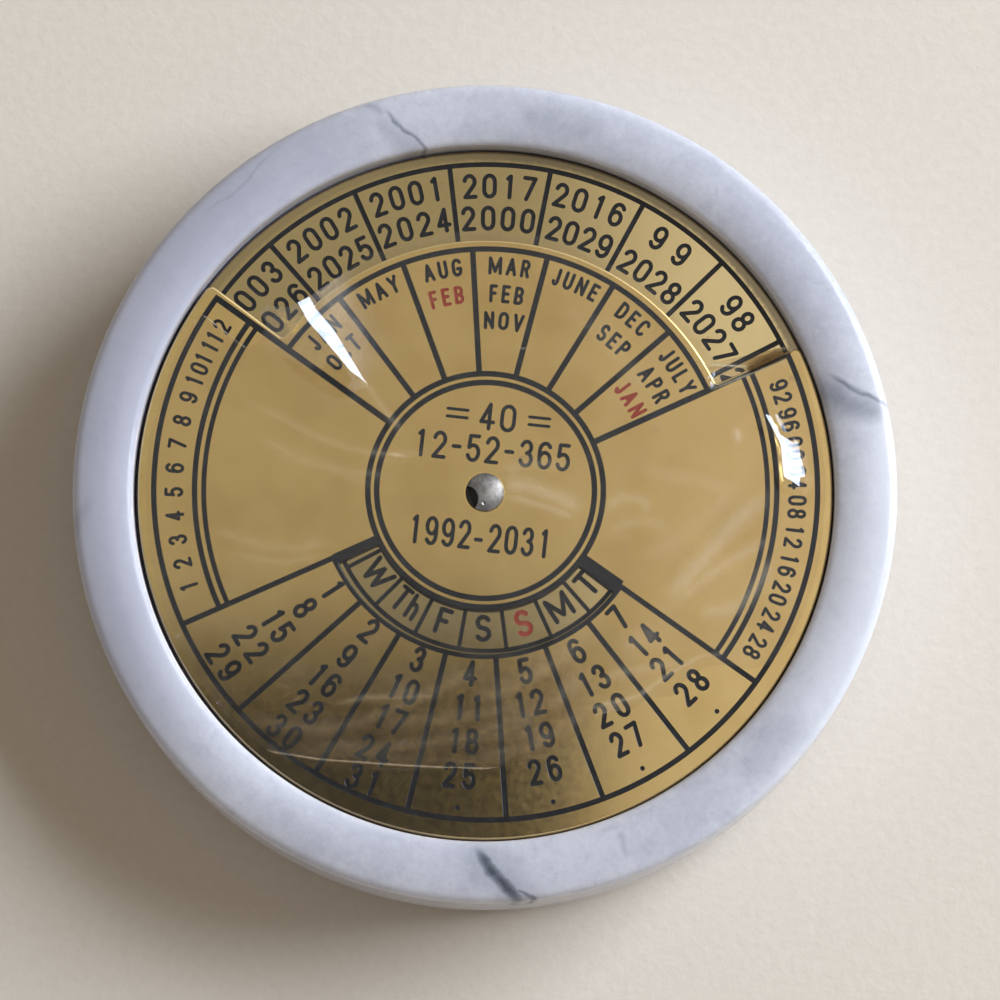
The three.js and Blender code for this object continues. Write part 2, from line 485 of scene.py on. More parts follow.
@dataclass
class Shell:
    """Points and faces of one piece, in millimetres, with a material slot for each face."""

    points: list[Point3] = field(default_factory=list)
    faces: list[tuple[int, ...]] = field(default_factory=list)
    slots: list[int] = field(default_factory=list)

    def ring(self, points: Iterable[Point], height: float) -> list[int]:
        """Adds points at one height.

        Args:
            points: The points.
            height: Their height.

        Returns:
            Their indices.
        """
        start = len(self.points)
        self.points += [(x, y, height) for x, y in points]
        return list(range(start, len(self.points)))

    def face(self, corners: tuple[int, ...], slot: int) -> None:
        """Adds a face."""
        self.faces.append(corners)
        self.slots.append(slot)

    def add(self, spot: Point, move: Vector, height: float) -> int:
        """Adds a point that is moved from a spot, and gives its index."""
        self.points.append((spot[0] + move.x, spot[1] + move.y, height))
        return len(self.points) - 1

    def piece(self, name: str, materials: Sequence[Material], smooth: bool = False) -> Thing:
        """Makes the object.

        Args:
            name: The piece's name.
            materials: One material for each slot.
            smooth: True to shade it smooth.

        Returns:
            The object, at the origin, with its place in its mesh.
        """
        mesh = bpy.data.meshes.new(name)
        mesh.from_pydata([(x * MM, y * MM, z * MM) for x, y, z in self.points], [], self.faces)
        for material in materials:
            mesh.materials.append(material)
        mesh.polygons.foreach_set("material_index", self.slots)
        mesh.polygons.foreach_set("use_smooth", [smooth] * len(self.faces))
        mesh.update()
        return in_scene(bpy.data.objects.new(name, mesh))


def in_scene(made: Thing) -> Thing:
    """Puts an object, lamp or camera in the scene."""
    bpy.context.scene.collection.objects.link(made)
    return made


@dataclass(frozen=True)
class EtchedSheet:
    """A flat metal sheet with filled etching in its upper face and a broken edge all round.

    The enamel climbs the sides of the etching: steeply where the sheet is bare, hardly where film lies
    on it. A border that is inked has enamel over its broken edge.
    """

    name: str
    bottom: float
    top: float
    outline: list[Point]
    holes: list[list[Point]]
    etching: Etching
    bare: Callable[[Point], bool] = lambda _: False
    inked: Callable[[Point], bool] = lambda _: False
    edge: float = 0.2
    edge_drop: float = 0.082
    lip_width: float = 0.05
    flat_lip: float = 0.004
    steep_lip: float = 0.024
    wall_width: float = 0.006
    depth: float = 0.05

    def triangles(self) -> tuple[list[Point], list[tuple[int, int, int]], list[int]]:
        """Cuts the upper face along every outline.

        Returns:
            The points, the triangles, and for each triangle 0 for metal or its enamel's number.
        """
        polygons = [self.outline, *self.holes, *[polygon for _, polygon in self.etching.fills]]
        first_fill = 1 + len(self.holes)
        points, loops = numbered(polygons)
        cut, _, faces, _, _, sources = delaunay_2d_cdt(points, [], loops, INSIDE_ONLY, 1e-5, True)
        kept: list[tuple[int, int, int]] = []
        kinds: list[int] = []
        for corners, source in zip(faces, sources):
            if 0 in source and not any(0 < i < first_fill for i in source):
                paints = [self.etching.fills[i - first_fill][0].value for i in source if i >= first_fill]
                kept.append(tuple(corners))
                kinds.append(max(paints, default=0))
        return [tuple(p) for p in cut], kept, kinds

    def offsets(self, points: Sequence[Point], edges: Iterable[tuple[int, int]]) -> dict[int, Vector]:
        """Gives each point of a border its direction to the right of the border's edges.

        Args:
            points: All points.
            edges: Directed border edges.

        Returns:
            A vector for each border point that moves both its edges by about one.
        """
        sums: dict[int, list[Vector]] = {}
        for a, b in edges:
            along = Vector(points[b]) - Vector(points[a])
            if along.length >= 1e-7:
                along.normalize()
                for i in (a, b):
                    sums.setdefault(i, []).append(Vector((along.y, -along.x)))
        result: dict[int, Vector] = {}
        for index, sides in sums.items():
            total = sum(sides, Vector((0.0, 0.0)))
            middle = total.normalized()
            result[index] = middle / max(middle.dot(sides[0]), 0.6) if total.length >= 0.2 else total * 0.0
        return result

    def build(self, metal: Material, paints: Sequence[Material], worn: Material) -> Thing:
        """Makes the sheet.

        Args:
            metal: The sheet's material.
            paints: The materials of the black and the red enamel.
            worn: The material of the broken edges.

        Returns:
            The sheet as one closed piece.
        """
        points, triangles, kinds = self.triangles()
        owner: dict[tuple[int, int], int] = {}
        for index, (a, b, c) in enumerate(triangles):
            owner |= dict.fromkeys(((a, b), (b, c), (c, a)), index)
        border: list[tuple[int, int]] = []
        painted: dict[tuple[int, int], int] = {}
        lips: dict[tuple[int, int], int] = {}
        for (a, b), index in owner.items():
            other = owner.get((b, a))
            if other is None:
                border.append((a, b))
                if kinds[index] > 0:
                    painted[a, b] = kinds[index]
            elif kinds[index] == 0 and kinds[other] > 0:
                lips[a, b] = kinds[other]
        shell = Shell()
        top_ids = shell.ring(points, self.top)
        inward = self.offsets(points, lips)
        lip_ids: dict[int, int] = {}
        for index, move in inward.items():
            drop = self.steep_lip if self.bare(points[index]) else self.flat_lip
            lip_ids[index] = shell.add(points[index], move * self.lip_width, self.top - drop)
        reach = self.lip_width + self.wall_width
        floor_ids: dict[int, int] = {}
        for kind, corners in zip(kinds, triangles):
            if kind == 0:
                shell.face(tuple(top_ids[i] for i in corners), 0)
                continue
            for i in corners:
                if i not in floor_ids:
                    move = inward.get(i, Vector((0.0, 0.0))) * reach
                    floor_ids[i] = shell.add(points[i], move, self.top - self.depth)
            shell.face(tuple(floor_ids[i] for i in corners), kind)
        for (a, b), kind in lips.items():
            shell.face((top_ids[b], top_ids[a], lip_ids[a], lip_ids[b]), kind)
            shell.face((lip_ids[b], lip_ids[a], floor_ids[a], floor_ids[b]), kind)
        for (a, b), kind in painted.items():
            shell.face((floor_ids[a], floor_ids[b], top_ids[b], top_ids[a]), kind)
        self.add_edge(shell, points, border, top_ids)
        return shell.piece(self.name, [metal, *paints, worn])

    def add_edge(
        self, shell: Shell, points: Sequence[Point], border: list[tuple[int, int]], top_ids: list[int]
    ) -> None:
        """Adds the broken edges, the side walls and the lower face.

        Args:
            shell: The sheet so far, with its upper face.
            points: Points of the upper face.
            border: Directed edges of its borders, with the metal on their left.
            top_ids: The shell's index of each point.
        """
        outward = self.offsets(points, border)
        worn_slot = 1 + len(Enamel)
        bevel = ((0.48, 0.22), (0.75, 0.54), (0.92, 1.0), (1.0, 1.6))
        levels = [(self.edge * share, self.top - self.edge_drop * drop) for share, drop in bevel]
        levels += [(self.edge, self.bottom + 0.05), (self.edge - 0.05, self.bottom)]
        upper = {i: top_ids[i] for i in outward}
        for reach, height in levels:
            lower = {i: shell.add(points[i], move * reach, height) for i, move in outward.items()}
            for a, b in border:
                slot = Enamel.BLACK.value if self.inked(points[a]) else worn_slot
                shell.face((upper[a], lower[a], lower[b], upper[b]), slot)
            upper = lower
        follow = dict(border)
        loops: list[list[int]] = []
        while follow:
            loop = [min(follow)]
            while (step := follow.pop(loop[-1])) != loop[0]:
                loop.append(step)
            loops.append(loop)
        outlines = [[points[i] for i in loop] for loop in loops]
        solid = max(range(len(loops)), key=lambda k: abs(signed_area(outlines[k])))
        corners, faces = numbered(outlines)
        used = [upper[i] for k, loop in enumerate(loops) for i in in_order(loop, outlines[k])]
        _, _, cut, origins, _, sources = delaunay_2d_cdt(corners, [], faces, INSIDE_ONLY, 1e-7, True)
        for triangle, source in zip(cut, sources):
            if set(source) == {solid}:
                shell.face(tuple(used[origins[i][0]] for i in reversed(triangle)), 0)


# Geometry Nodes trees.


@dataclass
class NodeWriter:
    """Adds nodes to one tree and joins them."""

    tree: bpy.types.NodeTree

    def add(self, kind: str, inputs: dict[int | str, Any] | None = None, **settings: Any) -> bpy.types.Node:
        """Adds a node.

        Args:
            kind: The node's type.
            inputs: A value, a node or one of its outputs for each input, by its name or number.
            settings: Values for the node's own properties.

        Returns:
            The node. As an input of another node it stands for its first output.
        """
        made = self.tree.nodes.new(kind)
        for name, value in settings.items():
            setattr(made, name, value)
        for key, value in (inputs or {}).items():
            if isinstance(value, bpy.types.Node):
                value = value.outputs[0]
            if isinstance(value, Socket):
                self.tree.links.new(value, made.inputs[key])
            else:
                made.inputs[key].default_value = value
        return made

    def maths(self, operation: str, *values: Any) -> Socket:
        """Adds a maths node and gives its result."""
        return self.add("ShaderNodeMath", dict(enumerate(values)), operation=operation).outputs[0]

    def whole(self, operation: str, first: Any, second: Any) -> Socket:
        """Adds a maths node for whole numbers and gives its result."""
        return self.add("FunctionNodeIntegerMath", {0: first, 1: second}, operation=operation).outputs[0]

    def vector(self, operation: str, *values: Any) -> Socket:
        """Adds a vector maths node and gives its result, a number for a length or a product."""
        made = self.add("ShaderNodeVectorMath", dict(enumerate(values)), operation=operation)
        return made.outputs["Value" if operation in ("LENGTH", "DOT_PRODUCT") else "Vector"]

    def level(self, value: Any, low: float, high: float, start: float = 0.0, end: float = 1.0) -> Socket:
        """Maps a range of a value to another range, clamped."""
        return self.add("ShaderNodeMapRange", {0: value, 1: low, 2: high, 3: start, 4: end}).outputs[0]

    def smooth(self, value: Any, low: float, high: float, start: float = 0.0, end: float = 1.0) -> Socket:
        """Maps a range of a value to another range, with soft ends.

        Args:
            value: The value.
            low: Its range's low end.
            high: Its range's high end.
            start: Result at the low end.
            end: Result at the high end.

        Returns:
            The result.
        """
        mapped = self.level(value, low, high, start, end)
        mapped.node.interpolation_type = "SMOOTHSTEP"
        return mapped

    def mix(self, base: Any, *layers: tuple[Any, Any]) -> Socket:
        """Lays colours over a base one after the other.

        Args:
            base: The colour below.
            layers: The share and the colour of each layer.

        Returns:
            The mixed colour.
        """
        for share, colour in layers:
            full = [(*c, 1.0) if isinstance(c, tuple) else c for c in (base, colour)]
            made = self.add("ShaderNodeMix", {0: share, 6: full[0], 7: full[1]}, data_type="RGBA")
            base = made.outputs[2]
        return base

    def end(self, geometry: bpy.types.Node, finish: Socket) -> bpy.types.NodeTree:
        """Ends a shape's tree: its copies become real and get their material.

        Args:
            geometry: The node that gives the shape.
            finish: The material's socket.

        Returns:
            The tree.
        """
        real = self.add("GeometryNodeRealizeInstances", {0: geometry})
        dressed = self.add("GeometryNodeSetMaterial", {"Geometry": real, "Material": finish})
        self.add("NodeGroupOutput", {0: dressed})
        return self.tree


def new_tree(name: str, **kinds: str) -> tuple[NodeWriter, Callable[[str], Socket]]:
    """Starts a Geometry Nodes tree.

    Args:
        name: The tree's name.
        kinds: Socket type of each input after the geometry, by its name.

    Returns:
        A writer for the tree, and what gives an input by its name.
    """
    tree = bpy.data.node_groups.new(name, "GeometryNodeTree")
    for label, kind in {"Geometry": "Geometry", **kinds}.items():
        tree.interface.new_socket(label, in_out="INPUT", socket_type=f"NodeSocket{kind}")
    tree.interface.new_socket("Geometry", in_out="OUTPUT", socket_type="NodeSocketGeometry")
    writer = NodeWriter(tree)
    return writer, writer.add("NodeGroupInput").outputs.get


def apply_tree(source: Thing, tree: bpy.types.NodeTree, **values: Any) -> Thing:
    """Runs a tree on an object and keeps the result as a plain mesh.

    Args:
        source: The object to run it on, whose mesh is exchanged for the result.
        tree: The Geometry Nodes tree.
        values: A value for each named input.

    Returns:
        The same object.
    """
    modifier = source.modifiers.new("shape", "NODES")
    modifier.node_group = tree
    for item in tree.interface.items_tree:
        if item.in_out == "INPUT" and item.name in values:
            modifier[item.identifier] = values[item.name]
    graph = bpy.context.evaluated_depsgraph_get()
    graph.update()
    mesh = bpy.data.meshes.new_from_object(source.evaluated_get(graph), depsgraph=graph)
    source.modifiers.remove(modifier)
    old, source.data = source.data, mesh
    mesh.name = source.name
    bpy.data.meshes.remove(old)
    return source


def turning_tree() -> bpy.types.NodeTree:
    """Makes the tree that turns a profile about the rivet's axis.

    Its geometry is the profile's points in order, radius along X and height along Z.

    Returns:
        The tree.
    """
    writer, given = new_tree("turned_profile", Steps="Int", Count="Int", Sharp="Float", Finish="Material")
    steps, count = given("Steps"), given("Count")
    columns = {"Vertices X": writer.whole("ADD", steps, 1), "Vertices Y": count}
    sheet = writer.add("GeometryNodeMeshGrid", columns)
    index = writer.add("GeometryNodeInputIndex")
    place = writer.add("GeometryNodeInputPosition")
    inputs = {"Geometry": given("Geometry"), "Value": place, "Index": writer.whole("MODULO", index, count)}
    sample = writer.add("GeometryNodeSampleIndex", inputs, data_type="FLOAT_VECTOR")
    profile = writer.add("ShaderNodeSeparateXYZ", {0: sample}).outputs
    share = writer.maths("DIVIDE", writer.whole("DIVIDE_FLOOR", index, count), steps)
    turn = writer.maths("MULTIPLY", share, math.tau)
    x, y = (writer.maths("MULTIPLY", profile["X"], writer.maths(way, turn)) for way in ("COSINE", "SINE"))
    spot = writer.add("ShaderNodeCombineXYZ", {0: x, 1: y, 2: profile["Z"]})
    moved = writer.add("GeometryNodeSetPosition", {"Geometry": sheet, "Position": spot})
    closed = writer.add("GeometryNodeMergeByDistance", {"Geometry": moved, "Distance": 1e-6})
    angle = writer.add("GeometryNodeInputMeshEdgeAngle")
    is_sharp = writer.add("FunctionNodeCompare", {0: angle, 1: given("Sharp")})
    smooth = writer.add("GeometryNodeSetShadeSmooth", {0: closed, 2: True})
    edged = writer.add("GeometryNodeSetShadeSmooth", {0: smooth, 1: is_sharp, 2: False}, domain="EDGE")
    return writer.end(edged, given("Finish"))


@dataclass(frozen=True)
class Turner:
    """Turns profiles into pieces."""

    tree: bpy.types.NodeTree
    sharp_angle: float = math.radians(40)

    def turn(self, name: str, profile: Sequence[Point], steps: int, finish: Material) -> Thing:
        """Turns one profile.

        Args:
            name: The piece's name.
            profile: Radius and height pairs, from the middle of the bottom outwards and up.
            steps: Steps to the turn.
            finish: The piece's material.

        Returns:
            The piece. A profile that starts off the axis is closed into a ring.
        """
        closed = [*profile, profile[0]] if profile[0][0] > 0 else profile
        mesh = bpy.data.meshes.new(name)
        mesh.from_pydata([(r * MM, 0.0, z * MM) for r, z in closed], [], [])
        made = in_scene(bpy.data.objects.new(name, mesh))
        sizes = {"Steps": steps, "Count": len(closed), "Sharp": self.sharp_angle}
        return apply_tree(made, self.tree, **sizes, Finish=finish)


def quarter(centre: Point, start: Point, end: Point, steps: int) -> list[Point]:
    """Gives a quarter of an ellipse between two profile points, start left out.

    Args:
        centre: The ellipse's centre.
        start: The point that the curve leaves.
        end: The point that it reaches.
        steps: Steps along it.

    Returns:
        Its points.
    """
    points: list[Point] = []
    for i in range(1, steps + 1):
        s, c = dial_point(90.0 * i / steps, 1.0)
        points.append(tuple(m + (a - m) * c + (b - m) * s for m, a, b in zip(centre, start, end)))
    return points


def bend(start: Point, corner: Point, end: Point, steps: int) -> list[Point]:
    """Gives the points of a curve that leaves one point and reaches another, both towards a corner.

    Args:
        start: The point that it leaves.
        corner: The corner.
        end: The point that it reaches.
        steps: Steps along it.

    Returns:
        Its points, both ends included.
    """
    shares = [i / steps for i in range(steps + 1)]
    ways = list(zip(start, corner, end))
    return [tuple(a * (1 - t) ** 2 + b * 2 * t * (1 - t) + c * t**2 for a, b, c in ways) for t in shares]


def broken(profile: Sequence[Point], corners: dict[int, float]) -> list[Point]:
    """Rounds corners of a profile, each by its own radius.

    Args:
        profile: Radius and height pairs.
        corners: A radius for each corner's index.

    Returns:
        The profile with rounded corners.
    """
    result: list[Point] = []
    for index, corner in enumerate(profile):
        here = Vector(corner)
        sides = [Vector(profile[(index + step) % len(profile)]) - here for step in (-1, 1)]
        before, after = (here + side.normalized() * corners.get(index, 0.0) for side in sides)
        result += bend(before, here, after, 5) if index in corners else [corner]
    return result


# Finishes.


class Paint(NodeWriter):
    """Writes one material, with object coordinates in millimetres."""

    def __init__(self, name: str) -> None:
        """Starts the material and its coordinates.

        Args:
            name: The material's name.
        """
        self.material = bpy.data.materials.new(name)
        self.material.use_nodes = True
        self.material.node_tree.nodes.clear()
        super().__init__(self.material.node_tree)
        self.place = self.mapped(self.add("ShaderNodeTexCoord").outputs["Object"], Scale=(1 / MM,) * 3)

    def mapped(self, vector: Socket, **how: Any) -> Socket:
        """Stretches or turns coordinates."""
        return self.add("ShaderNodeMapping", {"Vector": vector, **how}).outputs[0]

    def noise(self, scale: float, detail: float = 3.0, rough: float = 0.5, vector: Any = None) -> Socket:
        """Adds noise, so many features to the millimetre, and gives its value: about a half on the mean."""
        inputs = {"Vector": vector or self.place, "Scale": scale, "Detail": detail, "Roughness": rough}
        return self.add("ShaderNodeTexNoise", inputs).outputs["Fac"]

    def bump(self, height: Any, distance: float) -> Socket:
        """Turns a height from 0 to 1 into a normal, where 1 is a distance in millimetres."""
        inputs = {"Height": height, "Distance": distance * MM, "Strength": 1.0}
        return self.add("ShaderNodeBump", inputs).outputs[0]

    def principled(self, colour: Any, rough: Any, normal: Any = None, **others: Any) -> bpy.types.Node:
        """Adds a Principled shader.

        Args:
            colour: Its base colour.
            rough: Its roughness.
            normal: Its normal, or none.
            others: Other inputs, by their names with lines for spaces.

        Returns:
            The shader.
        """
        inputs = {key.replace("_", " "): value for key, value in others.items()}
        inputs |= {"Base Color": colour, "Roughness": rough}
        return self.add("ShaderNodeBsdfPrincipled", inputs | ({"Normal": normal} if normal else {}))

    def surface(self, shader: bpy.types.Node) -> Material:
        """Finishes the material with its shader."""
        self.add("ShaderNodeOutputMaterial", {"Surface": shader})
        return self.material


@dataclass(frozen=True)
class Vein:
    """A dark vein that crosses the marble: a point on it, its direction, its width and its reach."""

    x: float
    y: float
    heading: float
    width: float
    reach: float
    strength: float


VEINS = points_of(
    "5.95,-41.85,133,1.05,4.8,1.1 9.6,-43.7,112,0.45,2.6,0.7 6.2,-41.6,125,3.8,6.5,0.24 "
    "3.8,41.4,95,2.8,5.5,0.2 33.9,-24.8,35,3.2,6,0.18 18.9,-36.9,160,0.6,1.8,0.22 "
    "-12.6,38.3,127,0.38,4.6,0.55 -13.3,37.5,127,1.8,4.2,0.24 -16.6,40.6,126,0.7,1.8,0.25 "
    "39.4,15,113,0.5,4.6,0.6 38.5,13.9,106,2.2,5.2,0.45 -44,-9.4,20,1,5,0.25 "
    "-30,31,40,0.3,7,0.2"
)


@dataclass(frozen=True)
class MarbleFinish:
    """Polished white marble with blue-grey clouds, fine mottling and a few dark veins, with painted shade on
    its left side and painted light on its right.
    """

    pale: Colour = (0.60, 0.61, 0.69)
    cloud: Colour = (0.42, 0.43, 0.52)
    fleck: Colour = (0.72, 0.73, 0.79)
    grey: Colour = (0.27, 0.285, 0.35)
    dark: Colour = (0.075, 0.085, 0.11)
    # The side given painted shade; the opposite side gets painted light.
    dull_side: float = 277.0

    def vein_share(self, paint: Paint, vein: Vein, warp: Socket) -> Socket:
        """Gives how much of a vein shows at a point.

        Args:
            paint: The material in making.
            vein: The vein.
            warp: A vector that bends it.

        Returns:
            A share from 0 to the vein's strength.
        """
        beside = paint.vector("SUBTRACT", paint.place, (vein.x, vein.y, 17.0))
        away = paint.vector("MULTIPLY", beside, (1.0, 1.0, 0.35))
        across = (*dial_point(vein.heading + 90.0, 1.0), 0.15)
        distance = paint.vector("DOT_PRODUCT", paint.vector("ADD", away, warp), across)
        line = paint.smooth(paint.maths("ABSOLUTE", distance), 0.0, vein.width, 1.0, 0.0)
        length = paint.vector("LENGTH", away)
        fade = paint.smooth(length, vein.reach * 0.45, vein.reach, vein.strength, 0.0)
        return paint.maths("MULTIPLY", line, fade)

    def material(self) -> Material:
        """Makes the material.

        Returns:
            The material.
        """
        paint = Paint("marble")
        loose = {"Vector": paint.place, "Scale": 0.22, "Detail": 4.0}
        colours = paint.add("ShaderNodeTexNoise", loose).outputs["Color"]
        centred = paint.vector("SUBTRACT", colours, (0.5, 0.5, 0.5))
        drift = paint.vector("ADD", paint.place, paint.vector("MULTIPLY", centred, (5.0,) * 3))
        clouds = paint.noise(0.05, 5.0, 0.6, drift)
        mottle = paint.noise(0.5, 8.0, 0.72, drift)
        grain = paint.noise(1.5, 6.0, 0.75)
        reach = paint.vector("DOT_PRODUCT", paint.place, (*dial_point(self.dull_side, 1.0), 0.0))
        base = paint.mix(
            self.cloud,
            (paint.smooth(clouds, 0.36, 0.62, 0.5, 1.0), self.pale),
            (paint.smooth(mottle, 0.48, 0.68, 0.0, 0.42), self.cloud),
            (paint.smooth(mottle, 0.48, 0.30, 0.0, 0.35), self.fleck),
            (paint.level(grain, 0.52, 0.68, 0.0, 0.26), self.fleck),
            (paint.level(grain, 0.48, 0.32, 0.0, 0.26), self.cloud),
            # Painted shade on the side away from the lamp, painted light on the side towards it.
            (paint.smooth(reach, 16.0, 36.0, 0.0, 0.8), self.cloud),
            (paint.smooth(reach, -34.0, -42.0, 0.0, 0.5), self.fleck),
        )
        bend_size = 5.0 * 0.35
        warp = paint.vector("MULTIPLY", centred, (bend_size,) * 3)
        total: Any = 0.0
        for vein in starmap(Vein, VEINS):
            total = paint.maths("MAXIMUM", total, self.vein_share(paint, vein, warp))
        halo = paint.maths("MULTIPLY", total, paint.level(mottle, 0.3, 0.7, 0.7, 1.0))
        base = paint.mix(
            base, (paint.level(halo, 0.0, 0.5), self.grey), (paint.level(halo, 0.45, 1.0), self.dark)
        )
        height = paint.maths("ADD", paint.noise(0.5, 2.0), paint.maths("MULTIPLY", grain, 0.06))
        shader = paint.principled(
            base,
            paint.level(mottle, 0.3, 0.7, 0.18, 0.25),
            paint.bump(height, 0.05),
            IOR=1.45,
            Specular_IOR_Level=0.35,
            Subsurface_Weight=0.55,
            Subsurface_Radius=(1.0, 0.95, 0.9),
            Subsurface_Scale=3.0 * MM,
        )
        return paint.surface(shader)


@dataclass(frozen=True)
class BrassFinish:
    """Satin lacquered brass sheet with faint rolling lines, stains and fine scratches; it may carry painted
    shade towards its left side and along its rim.
    """

    name: str
    bright: Colour = (0.89, 0.64, 0.255)
    dull: Colour = (0.79, 0.55, 0.205)
    stain: Colour = (0.45, 0.31, 0.14)
    roll_heading: float = 80.0
    # Share of painted shade on the left side of the sheet, standing in for a dim reflection there.
    tarnish: float = 0.0
    rough: float = 0.1
    # Painted shade along the rim: the radius where it starts, none at zero, and the heading where it is
    # strongest.
    dirty_rim: float = 0.0
    rim_heading: float = 30.0

    def material(self) -> Material:
        """Makes the material.

        Returns:
            The material.
        """
        paint = Paint(self.name)
        turned = paint.mapped(paint.place, Rotation=(0.0, 0.0, math.radians(self.roll_heading)))
        lines = paint.noise(5.0, 4.0, 0.6, paint.mapped(turned, Scale=(0.06, 1.0, 1.0)))
        cloud = paint.noise(0.11, 4.0, 0.55)
        fine = paint.noise(1.3, 5.0, 0.6)
        spots = paint.noise(0.42, 3.0, 0.7)
        # Painted shade: the sheet dims towards its left side, with a wavy border.
        side = paint.add("ShaderNodeSeparateXYZ", {0: paint.place}).outputs["X"]
        side = paint.maths("MULTIPLY_ADD", cloud, 10.0, side)
        shaded_dull = tuple(c * (1 - self.tarnish) for c in self.dull)
        base = paint.mix(
            self.bright,
            (paint.smooth(cloud, 0.35, 0.7), self.dull),
            (paint.level(fine, 0.35, 0.75, 0.0, 0.18), self.dull),
            (paint.smooth(spots, 0.68, 0.8, 0.0, 0.4), self.stain),
            (paint.smooth(side, 3.0, 26.0, self.tarnish, 0.0), shaded_dull),
        )
        # Painted shade along the rim, mixed in the stain colour, strongest towards one heading.
        if self.dirty_rim > 0:
            radius = paint.vector("LENGTH", paint.vector("MULTIPLY", paint.place, (1.0, 1.0, 0.0)))
            ragged = paint.maths("MULTIPLY_ADD", fine, 0.8, radius)
            near_edge = paint.smooth(ragged, self.dirty_rim, self.dirty_rim + 0.7)
            reach = paint.vector("DOT_PRODUCT", paint.place, (*dial_point(self.rim_heading, 1.0), 0.0))
            share = paint.maths("MULTIPLY", near_edge, paint.smooth(reach, 20.0, 36.0, 0.3, 0.85))
            base = paint.mix(base, (share, self.stain))
        rolled = paint.maths("MULTIPLY", lines, 0.1)
        height = paint.maths("MULTIPLY_ADD", cloud, 5.0, rolled)
        rough = paint.level(fine, 0.3, 0.75, self.rough, self.rough + 0.05)
        return paint.surface(paint.principled(base, rough, paint.bump(height, 0.0016), Metallic=1.0))


@dataclass(frozen=True)
class EnamelFinish:
    """Baked enamel in the etching, a little uneven and dusty."""

    name: str
    deep: Colour
    worn: Colour

    def material(self) -> Material:
        """Makes the material.

        Returns:
            The material.
        """
        paint = Paint(self.name)
        patch = paint.noise(0.9, 4.0, 0.6)
        bump = paint.bump(paint.noise(7.0), 0.012)
        base = paint.mix(self.deep, (paint.smooth(patch, 0.45, 0.75), self.worn))
        rough = paint.level(patch, 0.3, 0.7, 0.28, 0.5)
        return paint.surface(paint.principled(base, rough, bump, Specular_IOR_Level=0.35))


@dataclass(frozen=True)
class SteelFinish:
    """Plated steel, worn and slightly stained."""

    name: str
    bright: Colour
    dull: Colour
    stain: Colour
    rough: float

    def material(self) -> Material:
        """Makes the material.

        Returns:
            The material.
        """
        paint = Paint(self.name)
        cloud = paint.noise(0.8, 4.0, 0.6)
        fine = paint.noise(6.0, 4.0, 0.65)
        dulled = (paint.smooth(cloud, 0.4, 0.6), self.dull)
        base = paint.mix(self.bright, dulled, (paint.smooth(fine, 0.5, 0.66, 0.0, 0.7), self.stain))
        rough = paint.level(fine, 0.3, 0.7, self.rough - 0.06, self.rough + 0.1)
        return paint.surface(paint.principled(base, rough, paint.bump(fine, 0.01), Metallic=1.0))


@dataclass(frozen=True)
class FeltFinish:
    """Matt wool felt."""

    light: Colour = (0.075, 0.155, 0.095)
    dark: Colour = (0.030, 0.075, 0.045)

    def material(self) -> Material:
        """Makes the material.

        Returns:
            The material.
        """
        paint = Paint("felt")
        tufts = paint.noise(3.2, 5.0, 0.7)
        wear = (paint.level(paint.noise(0.08), 0.45, 0.7, 0.0, 0.35), (0.11, 0.18, 0.13))
        base = paint.mix(self.dark, (paint.level(tufts, 0.3, 0.7), self.light), wear)
        sheen = {"Sheen_Weight": 0.35, "Sheen_Roughness": 0.5}
        return paint.surface(paint.principled(base, 0.95, paint.bump(tufts, 0.12), **sheen))


@dataclass(frozen=True)
class FoamFinish:
    """Aged foam tape with open cells."""

    light: Colour = (0.66, 0.60, 0.46)
    dark: Colour = (0.42, 0.36, 0.25)

    def material(self) -> Material:
        """Makes the material.

        Returns:
            The material.
        """
        paint = Paint("adhesive")
        cells = paint.add("ShaderNodeTexVoronoi", {"Vector": paint.place, "Scale": 4.0}).outputs["Distance"]
        aged = (paint.level(paint.noise(0.2, 4.0), 0.4, 0.7, 0.0, 0.5), self.dark)
        base = paint.mix(self.dark, (paint.level(cells, 0.1, 0.6), self.light), aged)
        return paint.surface(paint.principled(base, 0.8, paint.bump(cells, 0.08)))


